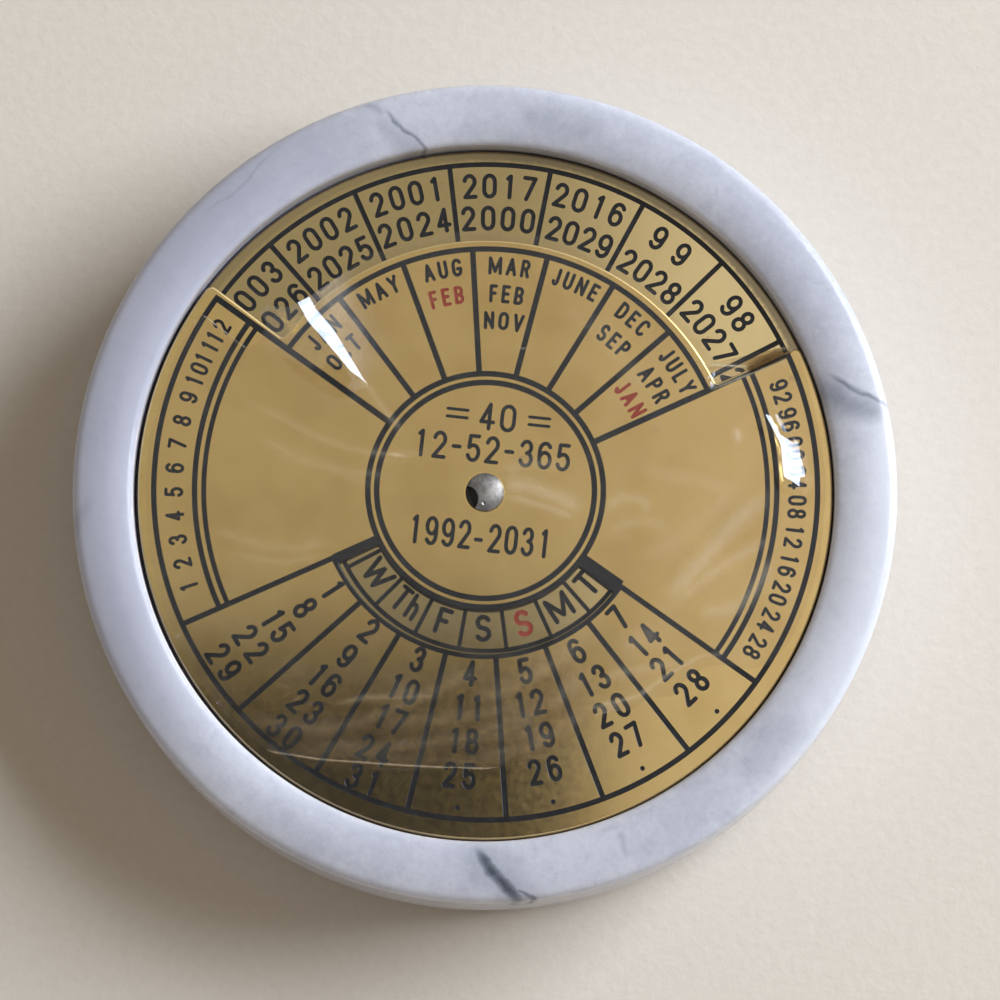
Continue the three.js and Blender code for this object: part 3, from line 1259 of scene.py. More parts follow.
@dataclass(frozen=True)
class FilmFinish:
    """Clear, thin plastic film: mostly see-through, with a glossy face, a faint veil, pale creases that are
    partly painted highlight, and painted shade on the folded strip.
    """

    tint: Colour = (0.985, 0.98, 0.965)
    murky: Colour = (0.66, 0.60, 0.48)
    haze: Colour = (0.85, 0.76, 0.58)

    def material(self) -> Material:
        """Makes the material.

        Returns:
            The material.
        """
        paint = Paint("film")
        streaks = paint.noise(0.5, 5.0, 0.65, paint.mapped(paint.place, Scale=(1.0, 0.25, 1.0)))
        fine = paint.noise(2.0, 4.0, 0.6)
        normal = paint.bump(paint.maths("MULTIPLY_ADD", fine, 0.12, streaks), 0.02)
        names = ("haze", "murk", "gleam")
        marks = [paint.add("ShaderNodeAttribute", attribute_name=name).outputs["Fac"] for name in names]
        crease, murk, gleam = marks
        # Painted shade: the see-through tint turns brownish where the folded strip is marked.
        clear = paint.add("ShaderNodeBsdfTransparent", {"Color": paint.mix(self.tint, (murk, self.murky))})
        sheen = paint.mix((0.66, 0.71, 0.86), (paint.level(fine, 0.4, 0.6), (0.84, 0.88, 1.0)))
        gloss = paint.principled(sheen, 0.06, normal, Metallic=1.0)
        dust_and_sheen = paint.principled((*self.haze, 1.0), 0.6)
        facing = paint.add("ShaderNodeLayerWeight", {"Blend": 0.5, "Normal": normal}).outputs["Facing"]
        face_on = paint.maths("MULTIPLY_ADD", gleam, 0.04, 0.018)
        shine = paint.maths("MULTIPLY_ADD", paint.maths("POWER", facing, 5.0), 0.9, face_on)
        glossy = paint.add("ShaderNodeMixShader", {0: shine, 1: clear, 2: gloss})
        dulled = paint.level(streaks, 0.35, 0.75, 0.003, 0.010)
        # Along the creases the film turns to a pale coat: partly real whitening, partly painted highlight.
        veil = paint.maths("MULTIPLY_ADD", crease, paint.level(fine, 0.3, 0.7, 0.45, 1.0), dulled)
        return paint.surface(paint.add("ShaderNodeMixShader", {0: veil, 1: glossy, 2: dust_and_sheen}))


# The object's sub-assemblies.


def dress(made: Thing, body: str, slot: str, *nodes: str) -> None:
    """Puts a finished piece on its body, in the place of its solids.

    Args:
        made: The piece.
        body: The body it rides on.
        slot: The record's material slot. It is not used.
        nodes: The solids that it stands for.
    """
    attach(made, body)
    if nodes:
        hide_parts(*nodes)
    LOG.info("%s: %d points, %d faces", made.name, len(made.data.vertices), len(made.data.polygons))


@dataclass(frozen=True)
class MarbleBody:
    """The turned marble body with its rounded rim and recess, and the felt under it."""

    turner: Turner
    stone: Span
    felt: Span
    plate: Span
    floor: float
    recess_clearance: float = 0.3
    recess_shift: Point = (-0.1, -0.01)
    crest_reach: float = 3.75
    inner_crown: Point = (2.75, 0.062)
    outer_crown: Point = (2.25, 0.045)
    edge_drops: Point = (0.86, 1.27)
    foot_inset: float = 2.5
    foot_rise: float = 4.0
    pocket_radius: float = 4.5
    pocket_depth: float = 2.0
    steps_round: int = 288
    curve_steps: int = 14
    felt_edge: float = 0.2
    nap: float = 0.12
    nap_density: float = 1.6

    def profile(self) -> list[Point]:
        """Gives the body's profile, from the middle of the bottom outwards and up.

        Returns:
            Radius and height pairs.
        """
        outer, bottom, top = self.stone.radius, self.stone.bottom, self.stone.top
        recess = self.plate.radius + self.recess_clearance
        crest = self.plate.radius + self.crest_reach
        foot = outer - self.foot_inset
        side_bottom = bottom + self.foot_rise
        steps = self.curve_steps
        pocket, pocket_floor = self.pocket_radius, self.floor - self.pocket_depth
        (inner_reach, inner_bow), (outer_reach, outer_bow) = self.inner_crown, self.outer_crown
        shares = [i / steps for i in range(steps + 1)]
        outside = [(crest + outer_reach * t, top - outer_bow * (outer_reach * t) ** 2) for t in shares[::-1]]
        inside = [(crest - inner_reach * t, top - inner_bow * (inner_reach * t) ** 2) for t in shares[1:]]
        shoulder, lip = outside[0], inside[-1]
        side_top = shoulder[1] - self.edge_drops[1]
        wall_top = lip[1] - self.edge_drops[0]
        outer_corner = shoulder[1] - 2 * outer_bow * outer_reach * (outer - shoulder[0])
        inner_corner = lip[1] - 2 * inner_bow * inner_reach * (lip[0] - recess)
        return [
            *[(foot * share, bottom) for share in (0.0, 0.5, 0.9, 1.0)],
            *quarter((foot, side_bottom), (foot, bottom), (outer, side_bottom), steps),
            *[(outer, side_bottom + (side_top - side_bottom) * i / 8) for i in range(1, 9)],
            *bend((outer, side_top), (outer, outer_corner), shoulder, steps)[1:-1],
            *outside,
            *inside,
            *bend(lip, (recess, inner_corner), (recess, wall_top), steps)[1:],
            (recess, (wall_top + self.floor) / 2),
            (recess, self.floor + 0.4),
            (recess - 0.12, self.floor + 0.12),
            (recess - 0.4, self.floor),
            (recess * 0.6, self.floor),
            (pocket + 0.2, self.floor),
            (pocket, self.floor - 0.2),
            (pocket, pocket_floor + 0.2),
            (pocket - 0.2, pocket_floor),
            (0.0, pocket_floor),
        ]

    def felt_profile(self) -> list[Point]:
        """Gives the felt's profile, a little above the desk so that its nap reaches down to it.

        Returns:
            Radius and height pairs.
        """
        middle, rim = self.felt.radius * 0.5, self.felt.radius - self.nap
        under = [(r, self.nap) for r in (0.0, middle, rim)]
        over = [(r, self.felt.top) for r in (rim, middle, 0.0)]
        return broken([*under, *over], {2: self.felt_edge, 3: self.felt_edge})

    def nap_tree(self) -> bpy.types.NodeTree:
        """Makes the tree that scatters short, bent wool fibres over the felt.

        Returns:
            The tree.
        """
        sizes = dict.fromkeys(("Density", "Length", "Radius", "Limit"), "Float")
        writer, given = new_tree("felt_nap", **sizes, Finish="Material")
        felt, length, radius = given("Geometry"), given("Length"), given("Radius")
        spot = writer.add("ShaderNodeSeparateXYZ", {0: writer.add("GeometryNodeInputPosition")}).outputs
        low = writer.maths("LESS_THAN", spot["Z"], given("Limit"))
        inputs = {"Mesh": felt, "Selection": low, "Density": given("Density"), "Seed": 11}
        points = writer.add("GeometryNodeDistributePointsOnFaces", inputs).outputs
        half = writer.maths("MULTIPLY", length, 0.5)
        lean = writer.maths("MULTIPLY", length, 0.35)
        start = writer.add("ShaderNodeCombineXYZ", {0: writer.maths("MULTIPLY", half, -1.0)})
        middle = writer.add("ShaderNodeCombineXYZ", {2: lean})
        end = writer.add("ShaderNodeCombineXYZ", {0: half, 1: lean})
        inputs = {"Resolution": 3, "Start": start, "Start Handle": middle, "End Handle": middle, "End": end}
        fibre = writer.add("GeometryNodeCurvePrimitiveBezierSegment", inputs)
        section = writer.add("GeometryNodeCurvePrimitiveCircle", {"Resolution": 3, "Radius": radius})
        inputs = {"Curve": fibre, "Profile Curve": section, "Fill Caps": True}
        thread = writer.add("GeometryNodeCurveToMesh", inputs)
        turns = {0: (0.0, 0.0, -math.pi), 1: (0.0, 0.0, math.pi), "Seed": 5}
        spin = writer.add("FunctionNodeRandomValue", turns, data_type="FLOAT_VECTOR")
        inputs = {0: points["Rotation"], 1: writer.add("FunctionNodeEulerToRotation", {0: spin})}
        facing = writer.add("FunctionNodeRotateRotation", inputs, rotation_space="LOCAL")
        size = writer.add("FunctionNodeRandomValue", {2: 0.6, 3: 1.0, "Seed": 9}, data_type="FLOAT")
        inputs = {"Instance": thread, "Rotation": facing, "Scale": size.outputs[1]}
        copies = writer.add("GeometryNodeInstanceOnPoints", {"Points": points["Points"], **inputs})
        both = writer.add("GeometryNodeJoinGeometry", {0: copies})
        writer.tree.links.new(felt, both.inputs[0])
        real = writer.add("GeometryNodeRealizeInstances", {0: both})
        above = writer.maths("MAXIMUM", spot["Z"], radius)
        pressed = writer.add("ShaderNodeCombineXYZ", {0: spot["X"], 1: spot["Y"], 2: above})
        flat = writer.add("GeometryNodeSetPosition", {"Geometry": real, "Position": pressed})
        return writer.end(flat, given("Finish"))

    def build(self) -> None:
        """Makes the marble and the felt."""
        body = self.turner.turn("marble", self.profile(), self.steps_round, MarbleFinish().material())
        recess, crest = (self.plate.radius + r for r in (self.recess_clearance, self.crest_reach))
        move = Vector((*self.recess_shift, 0.0)) * MM
        for vertex in body.data.vertices:
            if vertex.co.z / MM > self.floor - self.pocket_depth - 0.1:
                share = (crest - vertex.co.xy.length / MM) / (crest - recess)
                vertex.co += move * min(max(share, 0.0), 1.0)
        dress(body, "base", "marble", "marble_body")
        wool = FeltFinish().material()
        felt = self.turner.turn("felt", self.felt_profile(), 192, wool)
        limit = (self.felt.top - 0.25) * MM
        sizes = {"Density": self.nap_density / MM**2, "Length": 0.75 * MM, "Radius": 0.03 * MM}
        apply_tree(felt, self.nap_tree(), **sizes, Limit=limit, Finish=wool)
        dress(felt, "base", "felt", "felt_pad")


@dataclass(frozen=True)
class RivetSet:
    """The rivet, its two washers and the adhesive ring that holds the lower disc down."""

    turner: Turner
    rivet: Span
    spacer: Span
    tail_washer: Span
    adhesive: Span
    plate: Span
    shank_radius: float = 1.25
    head_overhang: float = 0.875
    tail_overhang: float = 0.75
    tail_thickness: float = 0.625
    head_edge: float = 0.25
    hole_radius: float = 1.35
    adhesive_inner: float = 6.0
    scoop_spot: Point = (-2.1, -1.0)
    scoop_radius: float = 1.45
    scoop_depth: float = 0.75
    nick_spot: Point = (-0.05, -1.33)
    nick_radius: float = 0.2
    nick_fall: Point = (0.48, 0.18)

    def washer(self, name: str, span: Span, finish: Material) -> Thing:
        """Turns a punched washer: one edge is rolled over, the other has a small burr.

        Args:
            name: The piece's name.
            span: The solid's size.
            finish: Its material.

        Returns:
            The washer.
        """
        edge = min(0.12, (span.top - span.bottom) * 0.3)
        inner, outer = self.hole_radius, span.radius
        corners = [(inner, span.bottom), (outer, span.bottom), (outer, span.top), (inner, span.top)]
        profile = broken(corners, {0: edge * 0.4, 1: edge, 2: edge * 0.5, 3: edge})
        return self.turner.turn(name, profile, 96, finish)

    def rivet_profile(self) -> list[Point]:
        """Gives the rivet's profile: a rolled tail with a hollow end, the shank and the domed head.

        Returns:
            Radius and height pairs.
        """
        shank, bottom = self.shank_radius, self.rivet.bottom
        tail, head = shank + self.tail_overhang, shank + self.head_overhang
        tail_top, head_bottom = bottom + self.tail_thickness, self.plate.top
        dome_bottom = head_bottom + self.head_edge
        middle = (tail_top + bottom) / 2
        hollow, roll, mouth = 0.75, tail * 0.86, shank * 0.62
        lip = bottom + hollow * 0.55
        return [
            (0.0, bottom + hollow),
            (shank * 0.45, bottom + hollow),
            (mouth, bottom + hollow * 0.75),
            *quarter((roll, lip), (mouth, lip), (roll, bottom), 8),
            *quarter((roll, middle), (roll, bottom), (tail, middle), 5),
            (tail, tail_top - 0.08),
            (tail - 0.08, tail_top),
            (shank, tail_top),
            (shank, head_bottom),
            (head - 0.1, head_bottom),
            (head, head_bottom + 0.07),
            (head, dome_bottom - 0.05),
            *quarter((0.0, dome_bottom), (head, dome_bottom), (0.0, self.rivet.top), 44),
        ]

    def scoop(self, rivet: Thing, pit_shade: Material) -> None:
        """Presses a sharp-edged dent into the side of the head, and a small nick beside it. The dent gets a
        near-black finish, painted shade of a deep hollow.

        Args:
            rivet: The rivet.
            pit_shade: The material of the dent.
        """
        mesh = rivet.data
        mesh.materials.append(pit_shade)
        floor = self.plate.top + self.head_edge * 0.5
        rim = 0.05
        dent, nick = Vector(self.scoop_spot), Vector(self.nick_spot)
        for vertex in mesh.vertices:
            place, z = vertex.co.xy / MM, vertex.co.z / MM
            away = (place - dent).length
            share = min(max((self.scoop_radius - away) / rim, 0.0), 1.0)
            reach = self.shank_radius + self.head_overhang - 0.04
            if z >= floor and place.length <= reach and share > 0:
                bowl = 1 - 0.3 * (away / self.scoop_radius) ** 2
                vertex.co.z = max(z - share * bowl * self.scoop_depth, floor) * MM
        head = [v.co / MM for v in mesh.vertices if v.co.z / MM > floor]
        nick_level = min(point.z for point in head if (point.xy - nick).length < 0.12)
        for vertex in mesh.vertices:
            beside = vertex.co.xy / MM - nick
            if beside.length < self.nick_radius and vertex.co.z / MM > floor:
                vertex.co.z = (nick_level - beside.dot(Vector(self.nick_fall))) * MM
        for face in mesh.polygons:
            spot = face.center / MM
            if spot.z > floor - rim and (spot.xy - dent).length < self.scoop_radius - rim * 0.8:
                face.material_index = len(mesh.materials) - 1
                face.use_smooth = False
            if spot.z > floor and (spot.xy - nick).length < self.nick_radius:
                face.use_smooth = False

    def build(self) -> None:
        """Makes the rivet, the washers and the adhesive ring."""
        plated = SteelFinish(
            "rivet_steel", (0.30, 0.28, 0.265), (0.20, 0.185, 0.175), (0.12, 0.13, 0.10), 0.48
        ).material()
        # Near-black finish in the dent: painted shade standing in for a deep hollow.
        pit_shade = EnamelFinish("rivet_pit_shade", (0.004, 0.003, 0.002), (0.012, 0.010, 0.006)).material()
        zinc = SteelFinish(
            "washer_zinc", (0.60, 0.61, 0.62), (0.46, 0.46, 0.47), (0.30, 0.29, 0.27), 0.34
        ).material()
        rivet = self.turner.turn("rivet", self.rivet_profile(), 144, plated)
        self.scoop(rivet, pit_shade)
        dress(rivet, "base", "rivet_steel", "pivot_rivet")
        spacer = self.washer("spacer", self.spacer, zinc)
        dress(spacer, "base", "washer_steel", "spacer_washer")
        backing = self.washer("tail_backing_washer", self.tail_washer, zinc)
        dress(backing, "base", "washer_steel", "tail_washer")
        low, high, reach = self.adhesive.bottom, self.adhesive.top, self.adhesive.radius
        bulge = (low + high) / 2
        squeeze = 0.12
        outer, inner = reach - squeeze, self.adhesive_inner + squeeze
        profile = [
            (inner, low),
            (reach * 0.5, low),
            (outer, low),
            *quarter((outer, bulge), (outer, low), (reach, bulge), 4),
            *quarter((outer, bulge), (reach, bulge), (outer, high), 4),
            (reach * 0.5, high),
            (inner, high),
            *quarter((inner, bulge), (inner, high), (self.adhesive_inner, bulge), 4),
        ]
        ring = self.turner.turn("adhesive_tape", profile, 192, FoamFinish().material())
        dress(ring, "base", "adhesive", "adhesive_ring")


YEAR_GAPS = {"99": 1.45, "2029": 0.34, "2027": 0.38, "2028": 0.37, "2025": 0.43, "2026": 0.43}
YEAR_NUDGES = {
    "2024": (0.45, 0.0), "2000": (0.33, 0.0), "2027": (0.28, 0.0), "2029": (0.12, 0.0),
    "2028": (-0.1, 0.0), "2025": (0.1, 0.0), "2026": (0.1, 0.0), "2001": (0.12, 0.0),
    "2003": (0.0, -0.15), "2002": (0.0, -0.1), "2016": (0.0, -0.2), "99": (0.0, -0.26),
    "98": (0.0, 0.16),
}
MONTH_NUDGES = {
    "MAY": (0.14, 0.2), "AUG": (0.06, 0.24), "SEP": (0.0, 0.0), "JULY": (0.07, 0.3), "APR": (0.18, 0.12),
}
DATE_GAPS = {20: 0.75, 21: 0.35, 22: 0.75, 29: 0.75}


@dataclass(frozen=True)
class YearDisc:
    """The lower disc: two rings of years and a ring of weekdays, 21 cells round."""

    span: Span
    black: Material
    red: Material
    hole_radius: float = 1.35
    first_cell: float = -60.0
    edge_strays: tuple[float, ...] = (-0.6, -0.97, -0.74, -0.59, 0.0, 0.1, 0.13, 0.11)
    day_edge_strays: tuple[float, ...] = (-0.5, -1.0, -1.4, -1.5, -1.1, -1.2, -0.5)
    outer_line: float = 36.28
    year_rows: tuple[float, float] = (33.87, 29.95)
    year_type: Type = Type(2.82, 1.62, 0.46, 0.56)
    line: float = 0.55
    reach: float = 38.1
    weekday_ring: tuple[float, float] = (12.6, 17.2)
    weekday_radius: float = 14.7
    weekday_type: Type = Type(3.0, 1.85, 0.52, 0.3)
    short_type: Type = Type(3.0, 1.5, 0.48, 0.25)
    years: str = (
        "2003/2026 2002/2025 2001/2024 2017/2000 2016/2029 99/2028 98/2027 97/2014 96/2013 2018/2012 "
        "95/2023 94/2022 93/2021 92/2020 2031/2008 2030/2019 2007/ 2006/ 2011/2005 2010/2004 2015/2009"
    )
    weekdays: tuple[str, ...] = ("T", "M", "S", "S", "F", "Th", "W")
    holiday: int = 2

    def etching(self) -> Etching:
        """Lays out the etching.

        Returns:
            The etching, where its print sits on the disc.
        """
        etching = Etching(shift=(0.12, 0.36), turn=3.4)
        etching.ring(self.outer_line, self.line)
        strays = [*self.edge_strays, *[0.0] * CELLS]
        edges = [self.first_cell + CELL * cell + strays[cell] for cell in range(CELLS)]
        edges.append(edges[0] + FULL_TURN)
        for cell, edge, end in zip(self.years.split(), edges, edges[1:]):
            etching.spoke(edge, 27.3, self.outer_line, self.line)
            for text, row in zip(cell.split("/"), self.year_rows):
                kind = replace(self.year_type, gap=YEAR_GAPS.get(text, self.year_type.gap))
                spot = nudged((edge + end) / 2, row, YEAR_NUDGES.get(text, (0.0, 0.0)))
                etching.word(text, kind, *spot, Tops.OUTWARD)
            for side in (-1, 1):
                etching.fillet(edge, self.outer_line, side, -1)
        etching.shift = (0.172, -0.102)
        low, high = self.weekday_ring
        etching.ring(low, 0.55)
        etching.ring(high, 0.5)
        count = len(self.weekdays)
        strays = self.day_edge_strays
        edges = [HALF_TURN - 60 + CELL * i + strays[i % count] for i in range(CELLS + 1)]
        for cell, (edge, end) in enumerate(zip(edges, edges[1:])):
            etching.spoke(edge, low, high, 0.45)
            text = self.weekdays[cell % count]
            kind = self.short_type if len(text) == 2 else self.weekday_type
            enamel = Enamel.RED if cell % count == self.holiday else Enamel.BLACK
            middle = (edge + end) / 2 + (1.2 if text == "T" else 0.0)
            etching.word(text, kind, middle, self.weekday_radius, Tops.INWARD, enamel)
        return etching

    def build(self) -> None:
        """Makes the disc."""
        # Disc brass painted lighter than the plate's, with painted shade towards its left and along its
        # upper right rim.
        colours = ((0.98, 0.76, 0.36), (0.92, 0.70, 0.32), (0.22, 0.175, 0.11))
        brass = BrassFinish("disc_brass", *colours, roll_heading=20.0, tarnish=0.6, dirty_rim=37.1)
        # Dim, rough brass for the disc's broken edge, next to the marble wall.
        dark_edge = BrassFinish("disc_edge", (0.32, 0.24, 0.14), (0.22, 0.165, 0.10), rough=0.4)
        edge = EtchedSheet.edge
        holes = [circle(self.hole_radius + edge, 7.5)]
        heights = (self.span.bottom, self.span.top)
        sheet = EtchedSheet("years_disc", *heights, circle(self.reach - edge), holes, self.etching())
        made = sheet.build(brass.material(), [self.black, self.red], dark_edge.material())
        dress(made, "base", "disc_brass", "year_disc")


@dataclass(frozen=True)
class MonthPlate:
    """The upper plate: months over the year window, dates under the weekday window."""

    span: Span
    black: Material
    red: Material
    hole_radius: float = 1.35
    year_window: tuple[float, float] = (28.0, 58.7)
    day_window: tuple[float, float, float] = (13.0, 17.75, 57.75)
    month_edges: tuple[float, ...] = (-60.6, -43.3, -26.13, -9.2, 8.71, 25.72, 42.97, 59.74)
    date_edges: tuple[float, ...] = (119.72, 136.37, 153.26, 170.4, 187.51, 204.64, 221.81, 239.62)
    window_border: tuple[float, float] = (18.0, 0.6)
    circles: tuple[float, float] = (11.91, 12.88)
    month_line: float = 26.67
    side_lines: tuple[float, float] = (30.83, 31.84)
    outer_line: float = 36.3
    line: float = 0.6
    month_rows: tuple[float, ...] = (24.74, 21.67, 18.7)
    month_type: Type = Type(2.02, 1.04, 0.38, 0.44)
    date_rows: tuple[float, ...] = (20.02, 23.78, 27.5, 31.2, 34.35)
    date_type: Type = Type(2.95, 1.55, 0.5, 0.6)
    band_type: Type = Type(2.1, 1.12, 0.36, 0.34)
    band_radius: float = 34.1
    bare_angles: Point = (126.0, 206.0)
    bare_share: float = 0.78
    months: str = "JAN/OCT MAY AUG/FEB MAR/FEB/NOV JUNE DEC/SEP JULY/APR/JAN"
    leap_months: tuple[tuple[int, int], ...] = ((2, 1), (6, 2))
    centre_rows: tuple[tuple[str, Type, Point], ...] = (
        ("40", Type(3.1, 1.75, 0.43, 0.5), (0.5, 8.15)),
        ("12-52-365", Type(3.1, 1.62, 0.43, 0.42), (0.25, 4.5)),
        ("1992", Type(3.25, 1.45, 0.43, 0.36), (-4.48, -5.05)),
        ("-", Type(3.25, 1.45, 0.43, 0.36), (-0.2, -5.5)),
        ("2031", Type(3.25, 1.45, 0.43, 0.36), (4.28, -5.17)),
    )
    date_nudges: tuple[Point, ...] = points_of(
        "-.09,-.06 0,0 .02,-.24 .21,-.13 .34,-.04 .3,-.08 .15,0 -.18,-.12 -.08,.07 -.1,.04 .2,-.24 .17,.26 "
        ".3,-.08 .16,-.15 -.33,-.09 -.18,.29 -.2,.08 .22,-.02 .21,.05 .35,-.18 -.08,-.08 -.52,-.21 "
        "-.31,-.03 -.08,.39 .34,.08 .3,.18 .3,-.08 0,0 -.06,-.3 .15,.02 .22,.26"
    )

    def months_etching(self, etching: Etching) -> None:
        """Adds the month cells and their names.

        Args:
            etching: The plate's etching.
        """
        edges = self.month_edges
        inner = self.circles[1]
        etching.arc(self.month_line, edges[0], edges[-1], self.line)
        for cell, angle in enumerate(edges):
            inner_cell = 0 < cell < len(edges) - 1
            outer, width = (self.month_line, 0.63) if inner_cell else (self.outer_line, 0.68)
            etching.spoke(angle, inner, outer, width)
            for side in (-1, 1):
                if inner_cell or side * (cell - 3.5) < 0:
                    etching.fillet(angle, self.month_line, side, -1)
                    etching.fillet(angle, inner, side, 1)
        for cell, names in enumerate(self.months.split()):
            middle = (edges[cell] + edges[cell + 1]) / 2
            for row, name in enumerate(names.split("/")):
                enamel = Enamel.RED if (cell, row) in self.leap_months else Enamel.BLACK
                spot = nudged(middle, self.month_rows[row], MONTH_NUDGES.get(name, (0.1, 0.08)))
                etching.word(name, self.month_type, *spot, Tops.OUTWARD, enamel)

    def dates_etching(self, etching: Etching) -> None:
        """Adds the date cells and their numbers.

        Args:
            etching: The plate's etching.
        """
        edges = self.date_edges
        radius, width = self.window_border
        low, _, half = self.day_window
        border = Etching(fills=etching.fills)
        border.arc(radius, edges[0], edges[-1], width)
        border.spoke(HALF_TURN - half - 3.0, low, radius, 1.6)
        border.spoke(HALF_TURN + half + 2.0, low, radius, 1.2)
        for cell, angle in enumerate(edges):
            inner = self.circles[1] if cell in (0, 7) else radius
            etching.spoke(angle, inner, self.outer_line, 0.6)
            for side in (-1, 1):
                etching.fillet(angle, self.outer_line, side, -1)
                if 0 < cell < 7 or side * (cell - 3.5) < 0:
                    etching.fillet(angle, radius + 0.2, side, 1, 0.55)
        for column in range(7):
            middle = (edges[column] + edges[column + 1]) / 2
            for row, radius in enumerate(self.date_rows):
                date = 7 - column + 7 * row
                if date > 31:
                    etching.dot(middle, 35.07, 0.55)
                    continue
                gap = DATE_GAPS.get(date, 0.35 if 10 <= date < 20 else 0.6)
                spot = nudged(middle, radius, self.date_nudges[date - 1])
                etching.word(str(date), replace(self.date_type, gap=gap), *spot, Tops.INWARD)

    def bands_etching(self, etching: Etching) -> None:
        """Adds the lines of the side sectors and the numbers in their outer bands.

        Args:
            etching: The plate's etching.
        """
        first, second = self.side_lines
        first_edge, last_edge = self.month_edges[-1], FULL_TURN + self.month_edges[0]
        for start, end in ((first_edge, self.date_edges[0]), (self.date_edges[-1], last_edge)):
            etching.arc(first, start, end, 0.55)
            etching.arc(second, start, end, 0.6)
            for edge, side in ((start, 1), (end, -1)):
                etching.fillet(edge, first, side, -1, 0.6)
                etching.fillet(edge, self.outer_line, side, -1)
                etching.fillet(edge, second, side, 1, 0.6)
        etching.arc(self.outer_line, first_edge - 0.5, last_edge + 0.5, self.line)
        months = [str(month + 1) for month in range(12)]
        leap_years = [f"{year % 100:02d}" for year in range(1992, 2032, 4)]
        for numbers, start in ((months, 245.5), (leap_years, 65.5)):
            for place, number in enumerate(numbers):
                angle = start + 49.0 * place / (len(numbers) - 1)
                etching.word(number, self.band_type, angle, self.band_radius, Tops.OUTWARD)

    def centre_etching(self, etching: Etching) -> None:
        """Adds the double circle and the numbers round the rivet.

        Args:
            etching: The plate's etching.
        """
        for radius in self.circles:
            etching.ring(radius, 0.62)
        for text, kind, middle in self.centre_rows:
            etching.row(text, kind, middle)
        for side in (-1, 1):
            for rise in (0.42, -0.42):
                x, y = 0.55 + side * 3.4, 8.15 + rise
                etching.fill(ribbon([(x, y), (x + side * 2.2, y)], 0.34))

    def bare(self, spot: Point) -> bool:
        """Tells whether no film lies on a spot of the plate.

        Args:
            spot: The spot.

        Returns:
            True where the brass is bare.
        """
        angle = math.degrees(math.atan2(*spot)) % FULL_TURN
        share = math.hypot(*spot) / self.span.radius
        low, high = self.bare_angles
        return low < angle < high and share > self.bare_share

    def inked(self, spot: Point) -> bool:
        """Tells whether a spot of a border is on the weekday window's."""
        low, high, _ = self.day_window
        return low - 0.5 < math.hypot(*spot) < high + 0.5

    def outline(self) -> list[Point]:
        """Gives the plate's outline, inside its broken edge.

        Returns:
            The outline.
        """
        edge = EtchedSheet.edge
        depth_radius, half = self.year_window
        radius = self.span.radius - edge
        half += math.degrees(edge / radius)
        window = dial_arc(depth_radius - edge, -half, half)
        return joined(dial_arc(radius, half, FULL_TURN - half), window, 0.6)

    def day_opening(self) -> list[Point]:
        """Gives the weekday window, outside its broken edge.

        Returns:
            Its outline.
        """
        edge = EtchedSheet.edge
        low, high, half = self.day_window
        half += math.degrees(edge / low)
        start, end = HALF_TURN - half, HALF_TURN + half
        return joined(dial_arc(low - edge, end, start), dial_arc(high + edge, start, end), 0.4)

    def build(self) -> None:
        """Makes the plate."""
        etching = Etching(shift=(0.03, 0.247), bow=1.45e-4)
        self.months_etching(etching)
        self.dates_etching(etching)
        self.bands_etching(etching)
        self.centre_etching(etching)
        holes = [self.day_opening(), circle(self.hole_radius + EtchedSheet.edge, 7.5)]
        shape = (self.span.bottom, self.span.top, self.outline(), holes, etching)
        sheet = EtchedSheet("months_plate", *shape, self.bare, self.inked)
        # Brass for the broken edge, with painted shade along its lower left rim.
        colours = ((0.95, 0.74, 0.36), (0.88, 0.66, 0.30), (0.26, 0.215, 0.15))
        worn = BrassFinish("plate_edge", *colours, rough=0.3, dirty_rim=36.6, rim_heading=222.0)
        brass = BrassFinish("plate_brass").material()
        made = sheet.build(brass, [self.black, self.red], worn.material())
        dress(made, "dial", "plate_brass", "month_plate")


# The film.


def nearest_on(polygon: Sequence[Point], spot: Point) -> tuple[Point, float]:
    """Gives the point of a filled polygon that is nearest to a spot, and how far it is.

    Args:
        polygon: The polygon.
        spot: The spot.

    Returns:
        The nearest point and its distance, which is nothing where the spot is inside.
    """
    x, y = spot
    inside = False
    best = (polygon[0], math.inf)
    for (x0, y0), (x1, y1) in zip(polygon, [*polygon[1:], polygon[0]]):
        if (y0 > y) != (y1 > y) and x < x0 + (x1 - x0) * (y - y0) / (y1 - y0):
            inside = not inside
        near = nearest_on_line((x0, y0), (x1, y1), spot)
        away = math.hypot(near[0] - x, near[1] - y)
        if away < best[1]:
            best = (near, away)
    return (spot, 0.0) if inside else best


def nearest_on_line(start: Point, end: Point, spot: Point) -> Point:
    """Gives the point of a straight line that is nearest to a spot.

    Args:
        start: The line's start.
        end: Its end.
        spot: The spot.

    Returns:
        The nearest point.
    """
    dx, dy = end[0] - start[0], end[1] - start[1]
    along = ((spot[0] - start[0]) * dx + (spot[1] - start[1]) * dy) / max(dx * dx + dy * dy, 1e-9)
    share = min(max(along, 0.0), 1.0)
    return start[0] + dx * share, start[1] + dy * share


@dataclass(frozen=True)
class Crinkle:
    """A flat facet of the film that leans: its outline, its fall to the right and up, and its fade."""

    outline: tuple[Point, ...]
    fall: Point
    fade: float

    def height(self, spot: Point) -> float:
        """Gives how high this crinkle lifts the film at a spot.

        Args:
            spot: The spot.

        Returns:
            The height.
        """
        near, away = nearest_on(self.outline, spot)
        *falls, fall = [x * self.fall[0] + y * self.fall[1] for x, y in (*self.outline, near)]
        return (max(falls) - fall) * max(0.0, 1 - away / self.fade) ** 2


